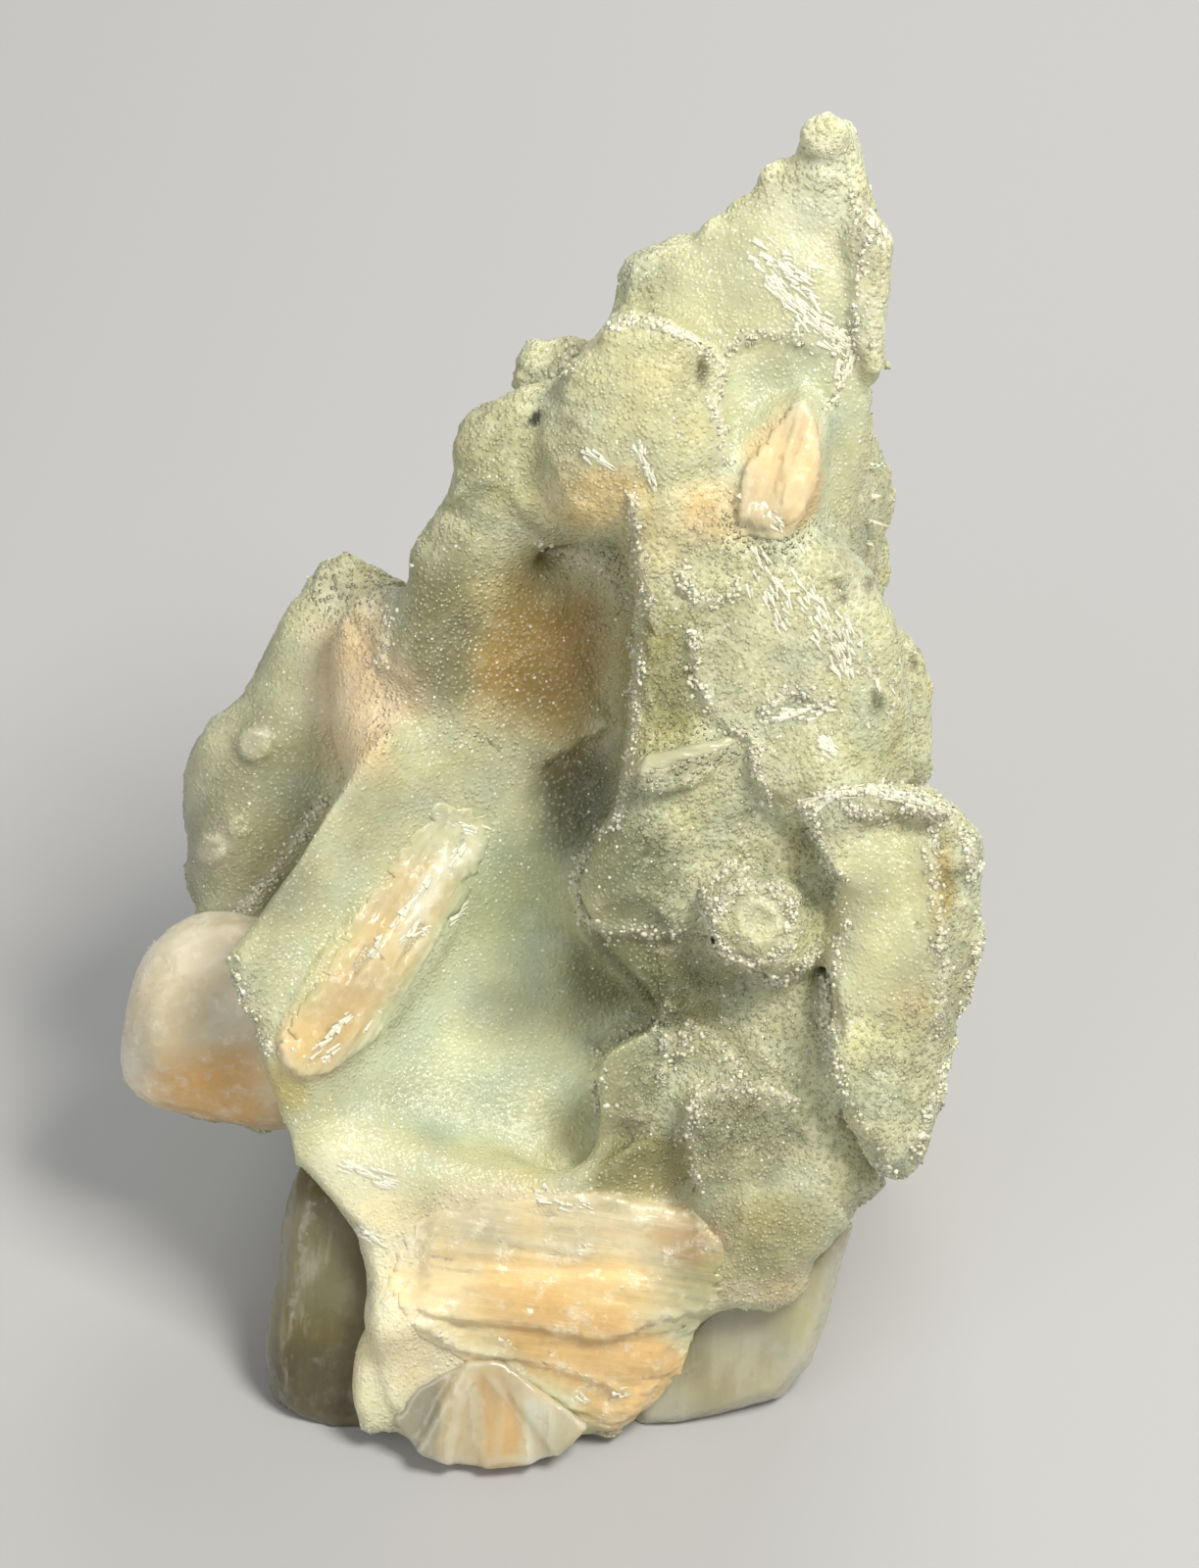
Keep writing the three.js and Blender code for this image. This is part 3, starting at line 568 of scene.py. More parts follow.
# Flat layers of the face: zone, height over the mean face in mm, and strength.
SHELVES = [
    (((7.9, -7.2), (2.7, 2.7), 0, 6), 4.6, 0.9),
    (((1.6, -9.4), (3.8, 3.2), -35, 3), 1.8, 0.7),
    (((1.6, -14.8), (2.8, 3.0), 0, 3), 0.8, 0.7),
    (((7.6, -18.4), (4.6, 4.2), 0, 1.6), 2.0, 0.8),
]


def shelved(mesh, points):
    """Points on the face pulled to the heights of the flat layers."""
    places = seen_places(points)
    seen = facing_share(mesh, 0.0, 0.4)
    for zone, height, strength in SHELVES:
        drop = height - places[:, 2]
        rise = strength * zone_share(places, *zone) * seen * drop * (np.abs(drop) < SHELF_REACH)
        points = raised(points, rise)
        places[:, 2] += rise
    return points


# Turns of a ring's corners in degrees. They go on past the full turn, so that its fading ends overlap.
RING_TURNS = range(0, 450, 30)


def ring(middle, radius):
    """A line round a place on the sheet, with its inside on the left."""
    turns = [math.radians(turn) for turn in RING_TURNS]
    return tuple((middle[0] + radius * math.cos(turn), middle[1] + radius * math.sin(turn))
                 for turn in turns)


# Edges of the layers that the crust grows in, seen on the sheet, with the raised side on the left.
# Each has its height and its slope's reach in mm, and how bright its rim is.
# A bright rim is frost and also painted glow of the thin edge; the ledge's foot gets painted shade.
LEDGES = [
    ("pillar", 0.7, 2.2, 0.9, (
        (1.4, 15.0), (1.7, 12.0), (1.8, 10.0), (1.6, 5.5), (1.5, 2.9), (1.1, 0.5), (0.8, -1.3),
        (-0.3, -2.5), (-1.0, -3.4), (-1.5, -4.8), (-1.5, -5.8), (-1.2, -6.8), (-0.4, -7.5),
        (0.7, -7.8), (1.9, -7.7), (2.7, -8.0), (3.9, -7.8), (4.7, -7.3))),
    ("plate", 0.6, 2.0, 0.35, (
        (-1.9, -6.2), (-1.1, -7.8), (0.0, -9.2), (1.3, -10.4), (2.5, -11.8), (3.9, -12.5))),
    ("cup", 0.35, 1.8, 1.0, (
        (4.2, 11.2), (4.1, 10.0), (4.8, 9.1), (6.1, 9.0), (7.0, 9.6), (7.3, 10.5))),
    ("shoulder", 0.55, 2.2, 0.9, (
        (4.4, 8.0), (4.6, 6.5), (4.9, 4.8), (5.5, 3.8), (6.6, 2.6), (7.5, 2.2), (7.7, 0.7),
        (8.3, -0.2), (8.3, -1.2))),
    ("lump", 0.4, 1.4, 1.0, (
        (8.5, 3.0), (8.9, 3.8), (9.5, 4.2), (10.5, 4.6), (11.1, 3.9), (11.8, 3.9), (12.1, 4.8))),
    ("slab", 0.7, 3.0, 0.9, (
        (19.3, -5.0), (19.2, -2.8), (18.3, -1.4), (16.3, -0.3), (13.9, 0.0), (11.3, -0.3),
        (10.2, -1.1), (10.4, -2.2), (11.3, -3.5), (12.0, -5.2), (12.2, -7.5), (11.7, -8.5),
        (11.3, -10.2), (11.3, -12.6), (11.7, -14.8), (12.4, -16.3), (13.5, -18.1), (14.4, -19.8),
        (14.9, -20.3))),
    ("slab side", 0.2, 1.6, 0.8, (
        (19.4, -6.0), (18.9, -9.4), (18.2, -12.6), (17.2, -15.6), (15.6, -19.0))),
    ("slab top", 0.3, 1.2, 1.0, (
        (12.1, -1.3), (12.8, -1.6), (14.4, -1.9), (16.7, -1.8), (17.4, -2.3))),
    ("slab crack", 0.35, 2.4, 0.6, (
        (17.4, -13.1), (17.7, -11.5), (17.9, -9.5), (17.7, -7.5), (17.3, -5.4), (17.1, -2.1))),
    ("arch", 0.6, 1.6, 0.6, (
        (8.2, -4.9), (7.7, -4.2), (6.7, -4.0), (5.3, -4.8), (5.1, -6.7), (5.5, -8.2), (6.4, -9.2))),
    ("bead", 0.5, 1.2, 0.7, (
        (10.2, -7.2), (9.9, -6.0), (9.0, -5.2), (7.9, -4.9), (6.7, -5.2), (5.9, -6.1), (5.6, -7.2),
        (5.9, -8.4), (6.7, -9.2), (7.9, -9.5), (9.1, -9.2), (9.9, -8.4), (10.2, -7.2), (9.9, -6.0))),
    ("button", 0.35, 0.8, 0.44, (
        (9.4, -7.0), (9.0, -6.1), (8.2, -5.8), (7.4, -6.0), (6.9, -6.8), (7.1, -7.7), (7.9, -8.3),
        (8.8, -8.1), (9.4, -7.0), (9.0, -6.1))),
    ("button swirl", 0.2, 0.5, 0.4, (
        (7.5, -6.7), (8.1, -6.3), (8.7, -6.6), (8.9, -7.3), (8.4, -7.8))),
    ("lobe knob", 0.45, 1.0, 0.4, ring((-17.6, 2.0), 0.9)),
    ("low lobe knob", 0.4, 0.9, 0.4, ring((-19.8, -3.3), 0.8)),
    ("side lobe knob", 0.35, 0.8, 0.4, ring((-18.4, -2.2), 0.6)),
    ("petal", 0.6, 1.4, 0.8, (
        (8.0, -10.0), (8.7, -10.4), (9.6, -10.3), (10.9, -9.3), (11.6, -8.2))),
    ("mid lobe", 0.65, 1.8, 0.5, (
        (3.3, -15.4), (3.9, -13.2), (3.7, -12.6), (2.6, -11.9), (0.7, -12.4), (-0.3, -13.8),
        (-0.7, -15.4), (-0.3, -16.5), (0.7, -17.1))),
    ("next lobe", 0.5, 1.4, 0.55, (
        (7.6, -14.8), (6.8, -13.7), (5.5, -12.4), (4.4, -12.2), (3.9, -12.8), (3.9, -14.8))),
    ("grey lobe", 0.55, 2.4, 0.6, (
        (10.4, -16.0), (9.4, -15.6), (8.7, -15.4), (7.0, -15.1), (5.0, -15.4), (4.4, -16.1),
        (4.3, -18.1), (4.5, -19.5), (4.8, -21.0))),
    ("low face", 0.3, 2.4, 0.2, (
        (4.7, -18.9), (4.6, -21.5), (6.2, -23.1), (6.7, -24.5))),
    ("block band", 0.3, 1.2, 0.44, (
        (4.7, -27.0), (8.9, -26.9), (11.6, -26.3))),
    ("hump", 0.6, 2.6, 0.9, (
        (7.0, 16.4), (6.6, 17.6), (6.2, 19.4), (6.4, 20.5), (6.5, 21.6), (5.8, 22.6), (4.7, 22.9),
        (3.7, 23.7), (1.8, 24.1), (0.1, 23.9), (-1.1, 23.2), (-1.8, 21.9), (-2.3, 20.8))),
    ("spire fold", 0.25, 1.6, 0.5, (
        (6.4, 21.6), (7.4, 22.5), (8.9, 22.8), (10.9, 22.0), (11.8, 21.6))),
    ("spire band", 0.15, 2.0, 0.6, (
        (12.5, 30.2), (13.3, 28.5), (13.4, 26.9), (12.8, 25.5), (12.6, 23.5), (12.8, 22.2),
        (12.0, 21.4), (11.9, 20.0), (11.3, 19.0))),
    ("bowl rim", 0.15, 1.2, 1.0, (
        (-14.1, -0.5), (-16.3, -3.8), (-19.3, -7.5), (-19.0, -9.2), (-18.5, -11.2), (-17.5, -13.0),
        (-16.7, -14.2))),
    ("left strip", 0.3, 1.2, 0.5, (
        (-11.0, 5.5), (-10.5, 8.2), (-10.4, 9.3), (-10.1, 10.5), (-9.3, 11.2))),
    ("splinter top", 0.12, 0.8, 0.44, (
        (7.7, 2.6), (4.4, 2.05), (1.3, 1.25))),
    ("splinter foot", 0.12, 0.8, 0.44, (
        (1.5, 0.1), (4.6, 1.1), (7.8, 2.2))),
    ("wall foot", 0.5, 2.6, 0.25, (
        (-3.3, 0.5), (-1.1, 1.9), (1.2, 3.2))),
    ("step", 0.45, 1.6, 0.5, (
        (-3.6, 11.9), (-1.7, 11.6), (-0.7, 10.9), (1.0, 10.2))),
    ("blade", 0.4, 1.5, 0.4, (
        (-12.0, -5.8), (-14.1, -8.5), (-15.8, -11.2), (-16.5, -13.1), (-15.9, -14.5), (-14.9, -15.1),
        (-13.3, -14.5), (-11.1, -12.9), (-9.1, -10.5), (-7.1, -7.2))),
    ("blade line", 0.3, 1.2, 0.4, (
        (-7.6, -2.9), (-9.6, -5.4), (-11.6, -8.5), (-13.0, -10.6))),
    ("small blade ridge", 0.35, 1.0, 0.3, (
        (9.9, 19.0), (9.5, 16.6), (8.9, 13.4))),
    ("panel edge", 0.3, 1.4, 0.44, (
        (-16.7, -17.8), (-14.1, -20.5), (-12.3, -22.5), (-11.7, -25.0), (-11.7, -27.4), (-10.8, -31.5),
        (-8.5, -34.7))),
    ("small blade", 0.45, 1.4, 0.4, (
        (9.7, 12.4), (10.3, 13.5), (11.3, 16.0), (11.1, 18.5), (10.5, 19.8), (9.8, 19.4), (9.1, 18.5),
        (8.2, 17.2), (7.4, 16.2), (7.0, 14.8), (7.0, 12.8))),
    ("upper layer", 0.5, 1.6, 0.4, (
        (-9.8, -26.7), (-7.4, -27.4), (-4.3, -27.6), (-1.8, -28.1), (0.5, -28.5), (1.8, -27.9),
        (3.0, -27.4), (4.5, -27.1), (5.9, -27.1))),
    ("second layer", 0.4, 1.2, 0.3, (
        (-9.7, -27.4), (-8.2, -28.4), (-6.6, -29.2), (-4.3, -29.4), (-2.2, -29.9), (0.1, -30.6),
        (1.4, -31.5))),
    ("third layer", 0.4, 1.2, 0.3, (
        (-6.4, -29.4), (-4.5, -30.1), (-3.2, -30.9), (-1.8, -31.7), (-1.0, -32.5))),
    ("top line", 0.25, 1.4, 0.44, (
        (5.0, -21.9), (4.7, -21.8), (0.1, -21.0), (-2.6, -20.9), (-3.3, -21.2))),
    ("end", 0.25, 1.2, 0.2, (
        (6.3, -24.2), (5.7, -23.1), (4.9, -21.9))),
]


def ledge_reach(places, line):
    """How far places lie to the raised side of a line, in mm, and 0 to 1 for fading at its ends."""
    gap = np.full(len(places), 1e6)
    side = np.ones(len(places))
    walked = np.zeros(len(places))
    total = 0.0
    for start, end in zip(line, line[1:]):
        run = np.subtract(end, start)
        step = math.hypot(*run)
        offset = places[:, :2] - start
        share = np.clip(offset @ run / step ** 2, 0, 1)
        reach = np.hypot(*(offset - share[:, None] * run).T)
        nearer = reach < gap
        gap[nearer] = reach[nearer]
        side[nearer] = np.where(run[0] * offset[:, 1] > run[1] * offset[:, 0], 1, -1)[nearer]
        walked[nearer] = (total + share * step)[nearer]
        total += step
    return gap * side, ramp(np.minimum(walked, total - walked), 0.0, 1.0)


# The section of a ledge, in mm from its line: where its face rises, where its rim is brightest, how wide
# the rim is, where its foot's shade ends, and how far the shade reaches.
LEDGE_FACE = (-0.08, 0.26)
RIM_AT, RIM_WIDTH = 0.24, 0.3
SHADE_END, SHADE_REACH = 0.02, 0.4
# The groove along its foot: its depth as a share of the ledge's height, and how fast it starts and ends.
GROOVE_DEPTH = 0.45
GROOVE_START, GROOVE_END = 0.3, 0.7
# A ledge is worked out this many of its slopes beyond its line.
LEDGE_MARGIN = 3


def kept_share(places):
    """How much of a rim is left at each place: it comes and goes every few mm."""
    return 0.75 + 0.8 * wave(places * (1, 1, 0), 2.4, 11)


def ledge_field(places, ledges):
    """The rise in mm, the rim and the shaded foot that a table of ledges gives at each place."""
    rise, rim, foot = np.zeros((3, len(places)))
    kept = np.clip(kept_share(places), 0.2, 1)
    for _, height, slope, bright, line in ledges:
        low = np.min(line, axis=0) - LEDGE_MARGIN * slope
        high = np.max(line, axis=0) + LEDGE_MARGIN * slope
        near = ((places[:, :2] > low) & (places[:, :2] < high)).all(1)
        reach, fade = ledge_reach(places[near], line)
        luck = kept[near]
        inside = np.maximum(reach, 0)
        outside = np.maximum(-reach, 0)
        step = ramp(reach, *LEDGE_FACE) * np.exp(-inside / slope)
        rise[near] += height * fade * (0.4 + 0.6 * luck) * step
        groove = (1 - np.exp(-outside / GROOVE_START)) * np.exp(-outside / GROOVE_END)
        rise[near] -= GROOVE_DEPTH * height * fade * groove
        # The rim: frost on the edge, brightened also as painted glow.
        edge = bright * fade * luck * np.exp(-((reach - RIM_AT) / RIM_WIDTH) ** 2)
        rim[near] = np.maximum(rim[near], edge)
        shade = (0.3 + 0.4 * bright) * fade * luck * (reach < SHADE_END) * np.exp(-outside / SHADE_REACH)
        foot[near] = np.maximum(foot[near], shade)
    return rise, rim, foot


# Colours of the face: middle on the sheet, half widths, turn, how sudden the edge is, colour, strength.
# Some patches are painted shade, as their notes say.
TINTS = [
    ((-7.1, -14.0), (9, 9), 0, 1.6, (0.66, 0.71, 0.48), 0.85),  # bowl
    ((-7.1, -16.2), (5.0, 3.4), 0, 1.4, (0.50, 0.54, 0.36), 0.6),  # bowl's foot
    ((-5.0, 16.4), (3.4, 3.6), 0, 1.4, (0.44, 0.42, 0.20), 0.6),  # left shoulder
    ((4.2, 26.2), (2.8, 2.4), 0, 1.4, (0.50, 0.51, 0.33), 0.6),  # over the hump
    ((-4.6, -5.2), (5.5, 5), 0, 1.3, (0.3, 0.36, 0.18), 0.55),  # bowl shade
    ((-1.1, -0.6), (3.4, 3.8), 0, 1.5, (0.07, 0.075, 0.025), 0.9),  # painted shadow deep in the recess, under the hump and the pillar
    ((-2.9, 6.6), (6.4, 7.0), -20, 1.3, (0.34, 0.22, 0.06), 0.95),  # wall
    ((-8.3, 8.0), (3.4, 6), 0, 1.3, (0.18, 0.16, 0.065), 0.85),  # left of the wall, darkened as painted shade in the recess
    ((-10.6, 4.5), (3, 2.6), 0, 1.3, (0.58, 0.4, 0.24), 0.6),  # wall corner
    ((9.4, 19.0), (4.6, 5), 0, 1.6, (0.58, 0.64, 0.45), 0.8),  # spire face
    ((10.9, 31.0), (4, 6.5), 0, 1.4, (0.80, 0.80, 0.56), 0.7),  # spire top
    ((2.4, 20.5), (5.4, 5), 0, 1.5, (0.7, 0.65, 0.36), 0.7),  # hump
    ((0.0, 14.7), (3.4, 2.6), 0, 1.6, (0.78, 0.57, 0.25), 0.75),  # hump peach
    ((5.7, 13.8), (2.8, 2.4), 0, 1.6, (0.88, 0.66, 0.34), 0.75),  # peach by the blade
    ((-12.6, 5.0), (3.0, 6.6), 0, 1.6, (0.80, 0.62, 0.38), 0.9),  # left strip
    ((2.7, 12.0), (2.6, 3.4), 0, 1.4, (0.66, 0.56, 0.28), 0.6),  # pillar top
    ((2.7, 5.0), (3, 6), 0, 1.5, (0.3, 0.29, 0.107), 0.8),  # pillar, darkened as painted shade on its side away from the light
    ((4.4, 1.3), (3.6, 0.9), 15, 1.6, (0.34, 0.34, 0.19), 0.7),  # splinter
    ((11.9, 8.0), (6, 6), 0, 1.4, (0.6, 0.61, 0.4), 0.7),  # right mass
    ((1.4, -4.5), (3.6, 3.4), 0, 1.5, (0.15, 0.16, 0.066), 0.8),  # lobe at the pillar's foot, darkened as painted shade
    ((1.4, -9.2), (4.2, 3.4), 0, 1.8, (0.14, 0.15, 0.053), 0.85),  # plate at the pillar's foot, painted dark olive as its shade
    ((4.7, -11.0), (3.4, 3.2), 0, 1.6, (0.17, 0.18, 0.07), 0.8),  # painted shade under the bead
    ((7.9, -7.2), (2.6, 2.6), 0, 3, (0.60, 0.58, 0.35), 0.8),  # bead
    ((8.2, -7.0), (1.4, 1.4), 0, 2, (0.68, 0.66, 0.44), 0.8),  # button
    ((1.4, -14.8), (2.4, 2.6), 0, 2.2, (0.3, 0.31, 0.156), 0.8),  # mid lobe
    ((7.2, -18.2), (3.6, 3.2), 0, 2.0, (0.28, 0.28, 0.156), 0.85),  # grey lobe: its grey, darkened as painted shade under the slab and the bead
    ((2.2, -19.5), (3.2, 2.6), 0, 2.0, (0.3, 0.26, 0.09), 0.85),  # window
    ((7.6, -23.8), (5.4, 3.8), 0, 1.8, (0.4, 0.36, 0.164), 0.8),  # low face, darkened as painted shade where it faces down
    ((9.0, -25.8), (3.8, 1.3), 6, 1.6, (0.58, 0.49, 0.31), 0.75),  # band over the clear block
    ((14.4, -8.0), (3.8, 8), 0, 2.0, (0.63, 0.61, 0.35), 0.7),  # slab
    ((12.9, -15.5), (3.2, 4), -20, 2.0, (0.70, 0.73, 0.46), 0.7),  # slab foot
    ((17.5, -5.2), (0.8, 3.6), -4, 1.6, (0.52, 0.4, 0.13), 0.8),  # slab stain
    ((15.9, -11.0), (1.8, 1.4), 0, 1.4, (0.62, 0.5, 0.28), 0.6),  # slab blush
    ((13.9, 25.0), (1.6, 6), 0, 1.5, (0.72, 0.67, 0.46), 0.45),  # spire band
    ((-18.6, -1.0), (5, 9), 0, 2.0, (0.33, 0.33, 0.20), 0.85),  # left lobe
    ((-19.8, -3.5), (2, 2), 0, 1.4, (0.52, 0.46, 0.36), 0.5),  # left lobe blush
    ((-16.1, -15.6), (1.7, 2.2), 0, 1.6, (0.66, 0.54, 0.18), 0.8),  # yellow corner
    ((-11.6, -25.5), (4, 9.5), 10, 2.0, (0.92, 0.86, 0.58), 0.85),  # panel
    ((-8.6, -29.2), (4.4, 2.6), 0, 1.8, (0.84, 0.74, 0.48), 0.85),  # over the fan
    ((1.2, -32.0), (4.0, 2.0), -30, 1.6, (0.70, 0.50, 0.24), 0.8),  # right of the fan
    ((-7.6, -19.6), (5.4, 1.8), -10, 1.6, (0.66, 0.66, 0.42), 0.7),  # over the sheaf
    ((-4.6, -19.8), (5, 1.8), 0, 1.4, (0.62, 0.56, 0.32), 0.5),  # sheaf crest
    ((-20.4, 0.6), (1.3, 6.4), -24, 1.4, (0.52, 0.52, 0.35), 0.7),  # left lobe rim
    ((-14.2, 9.8), (3.0, 2.2), 0, 1.4, (0.64, 0.64, 0.44), 0.7),  # left lobe top
    ((-17.6, 2.0), (0.9, 0.9), 0, 2, (0.56, 0.56, 0.42), 0.7),  # lobe knob
    ((-19.8, -3.3), (0.8, 0.8), 0, 2, (0.60, 0.58, 0.46), 0.7),  # low lobe knob
    ((-11.3, -8.6), (8.6, 2.4), 55, 2.2, (0.66, 0.53, 0.29), 0.9),  # blade
    ((-14.1, -12.2), (3.6, 2.2), 55, 2.2, (0.68, 0.52, 0.27), 0.85),  # blade foot
    ((-7.6, -2.8), (2.6, 2.4), 55, 1.5, (0.62, 0.62, 0.42), 0.8),  # blade top
    ((-13.6, -8.6), (5.4, 0.8), 60, 1.6, (0.52, 0.49, 0.22), 0.7),  # blade left edge
    ((-8.6, -5.4), (4.4, 0.8), 54, 1.6, (0.84, 0.82, 0.64), 0.7),  # blade frost
    ((9.1, 16.0), (2.2, 4.2), -14, 2.4, (0.76, 0.6, 0.34), 0.95),  # small blade
    ((10.7, 15.0), (0.7, 2.6), -12, 2.0, (0.68, 0.44, 0.18), 0.7),  # small blade shade
    ((-2.6, -22.8), (9.0, 2.8), -4, 2.0, (0.74, 0.63, 0.40), 0.85),  # sheaf, top layer
    ((4.6, -23.2), (2.2, 1.6), -24, 1.6, (0.62, 0.42, 0.22), 0.7),  # sheaf, right end
    ((-3.4, -25.8), (8.6, 2.4), -2, 2.2, (0.84, 0.62, 0.30), 0.9),  # sheaf, middle layer
    ((0.4, -29.4), (7.4, 3.0), -24, 2.2, (0.76, 0.51, 0.22), 0.9),  # sheaf, low layers
    ((-8.4, -25.4), (3.0, 3.4), 0, 1.6, (0.84, 0.74, 0.48), 0.6),  # sheaf, left end
    ((5.5, 21.2), (0.4, 1.0), 0, 2.0, (0.12, 0.10, 0.04), 0.85),  # painted shade in a pit on the hump
    ((12.2, 9.8), (0.4, 0.8), 20, 2.0, (0.12, 0.10, 0.04), 0.8),  # painted shade in a pit on the right mass
    ((14.0, 10.5), (0.4, 0.7), -10, 2.0, (0.12, 0.10, 0.04), 0.8),  # painted shade in a pit at its top edge
    ((14.4, 4.3), (0.4, 0.7), 10, 2.0, (0.12, 0.10, 0.04), 0.8),  # painted shade in a pit at its foot
    ((16.2, 6.3), (0.4, 0.7), 0, 2.0, (0.12, 0.10, 0.04), 0.8),  # painted shade in a pit at its right edge
    ((-3.2, 18.8), (0.36, 0.62), -12, 3.0, (0.03, 0.025, 0.01), 0.95),  # dark speck, left shoulder
]


# How far the patches' edges wander in mm, and how much light and warm clouds change the colours.
TINT_DRIFT = 0.56
CLOUDS = 0.22
WARM_CLOUDS = (0.06, 0.0, -0.12)


def paint_tint(mesh, places, base, tints, seen=None):
    """Writes the colour that a table of patches gives to a base at each vertex that is seen."""
    seen = np.ones(len(places)) if seen is None else seen
    shade = np.tile(np.array(base), (len(places), 1))
    moved = places[:, :2] + TINT_DRIFT * waves(places, 2.2, (2, 6))
    for middle, half, turn, sharp, colour_there, strength in tints:
        share = (seen * strength * zone_share(moved, middle, half, turn, sharp))[:, None]
        shade += (np.array(colour_there) - shade) * share
    shade *= 1 + CLOUDS * wave(places, 3.0, 19)[:, None]
    shade *= 1 + np.outer(wave(places, 2.3, 23), WARM_CLOUDS)
    shade = np.clip(shade, 0, 1)
    attribute = mesh.attributes.new("tint", "FLOAT_COLOR", "POINT")
    attribute.data.foreach_set("color", np.append(shade, np.ones((len(shade), 1)), axis=1).ravel())


# The druse


# Sizes of the patterns in the druse's paint, and the depth of its bumps, in metres.
BLOTCH = 0.0014
SUGAR = 0.00026
GLINT = 0.00045
GRIT = 0.0002
FACET = 0.00022
DRUSE_BUMP = 0.00025
# Colours of the painted glints, on the grains and on the crust.
GRAIN_GLINT = (1.0, 0.99, 0.84)
CRUST_GLINT = (1.0, 0.99, 0.86)


def druse_paint(props, name, grain=False):
    """The green crust. With grain it is the finish of the loose grains: all are painted lighter, a few as
    glints.
    """
    paint = Paint(name)
    rim = paint.attribute("rim")
    hollow = paint.attribute("hollow")
    smooth = paint.attribute("smooth")
    tint = paint.attribute("tint", "Color")
    deep, frost = tuple(props.deep), tuple(props.rim)
    mottle = paint.noise(BLOTCH, 4.0, 0.62)
    base = paint.mix(mottle.span(0.62, 0.38) * (0.14 - 0.08 * smooth), tint, deep)
    base = paint.mix(mottle.span(0.52, 0.72) * (0.26 - 0.18 * smooth), base, frost)
    # Painted shade: darker in the hollows and at the feet of the ledges.
    base = paint.mix(hollow * 0.5, base, deep)
    sugar = paint.cells(SUGAR).span(0.5, 0.1) * (1 - smooth * 0.4)
    # Lighter rims: frost, and painted glow of light through the thin edges.
    base = paint.mix((rim * (0.3 + 0.5 * mottle + 0.7 * sugar)).at_most(1.0) * 0.9, base, frost)
    base = paint.mix(sugar * 0.4, base, frost)
    if grain:
        # Every grain is painted lighter against its own shade, and a few near white as painted glints.
        shine = paint.attribute("shine")
        base = paint.mix(0.22 + shine.span(0.80, 0.90) * 0.75, base, GRAIN_GLINT)
    else:
        # A few small cells are painted near white, as glints.
        luck = paint.cells(GLINT, "Color")
        glint = paint.cells(GLINT).span(0.19, 0.11) * luck.span(0.66, 0.7)
        base = paint.mix(glint * 0.9, base, CRUST_GLINT)
    relief = sugar * (0.8 - 0.55 * smooth) + paint.noise(GRIT) * (0.5 - 0.2 * smooth)
    return paint.surface({
        "Base Color": base,
        "Roughness": 0.36 - 0.16 * sugar - 0.08 * smooth,
        "Normal": paint.bump(relief, DRUSE_BUMP, paint.facets(FACET, 0.6 - 0.38 * smooth)),
        "IOR": 1.55,
        "Subsurface Weight": 0.1 if grain else 0.58,
        "Subsurface Radius": (1.0, 0.95, 0.55),
        "Subsurface Scale": props.grain * 0.3 if grain else props.glow,
    }, None if grain else paint.attribute("seam"))


# Each crystal has a plug of crust behind it, so that no gap shows round it. Depth in mm.
PLUGS = {
    "recess_crystal": 0.0,
    "side_crystal": 0.0,
    "bowl_blade": 0.7,
    "upper_blade": 0.4,
    "clear_splinter": 0.0,
    "base_sheaf": 0.2,
    "base_fan": 0.8,
    "left_tooth": 1.4,
}
PLUG_GROWTH = 0.0004
# Rounds of smoothing that tell a small edge, a knob and a hollow from the surface round them, and how
# far each stands out or lies back, in metres, where its colour starts and where it is full.
# Edges and knobs are painted lighter, as frost and painted glow; hollows darker, as painted shade.
EDGE_ROUNDS, EDGE_BULGE = 8, (0.00004, 0.0002)
KNOB_ROUNDS, KNOB_BULGE = 40, (0.0002, 0.0008)
HOLLOW_ROUNDS, HOLLOW_BULGE = 90, (0.0003, 0.002)


def face_attributes(mesh, props):
    """Writes the attributes that the crust's paint reads."""
    places = seen_places(vertex_data(mesh, "co"))
    smooth = zones_share(places, SMOOTH_ZONES)
    seen = facing_share(mesh, -0.45, -0.05) * ramp(places[:, 2], *RIM_DEPTH)
    _, rim, foot = ledge_field(places, LEDGES)
    edges = ramp(bulge(mesh, EDGE_ROUNDS), *EDGE_BULGE)
    tops = ramp(bulge(mesh, KNOB_ROUNDS), *KNOB_BULGE)
    hollows = ramp(-bulge(mesh, HOLLOW_ROUNDS), *HOLLOW_BULGE)
    # Edges and knob tops are painted lighter: frost, and glow of light through them.
    frost_and_glow = np.maximum(edges, 0.7 * tops) * (0.75 - 0.5 * smooth)
    write_attribute(mesh, "rim", np.maximum(rim * seen, frost_and_glow))
    # Painted shade in the hollows and at the feet of the ledges.
    write_attribute(mesh, "hollow", np.maximum(hollows, 0.75 * foot * seen))
    write_attribute(mesh, "smooth", smooth)
    write_attribute(mesh, "seam", seams(places))
    paint_tint(mesh, places, props.pale, TINTS, np.maximum(seen, 0.2))


def remeshed(bm, name, voxel, rounds):
    """A bmesh's solids as one even skin, smoothed for some rounds."""
    return with_modifiers(mesh_of(bm, name), [
        ("REMESH", {"mode": "VOXEL", "voxel_size": voxel}),
        ("SMOOTH", {"factor": 0.5, "iterations": rounds}),
    ])


def packed_matrix():
    """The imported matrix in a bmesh, with the plugs behind its crystals and the lumps in its clefts."""
    whole = merged_copy("druse_matrix")
    for node, depth in PLUGS.items():
        plug = merged_copy(node)
        grow(plug, PLUG_GROWTH)
        bmesh.ops.translate(plug, verts=plug.verts[:], vec=FACING * (-depth * MM))
        whole.from_mesh(mesh_of(plug, "plug"))
    for place, half in FILLS:
        size = Matrix.Diagonal(Vector((*half, 1 / MM)) * MM)
        bmesh.ops.create_icosphere(whole, subdivisions=3, radius=1,
                                   matrix=Matrix.Translation(spot_at(*place)) @ SHEET_TURN.to_4x4() @ size)
    return whole


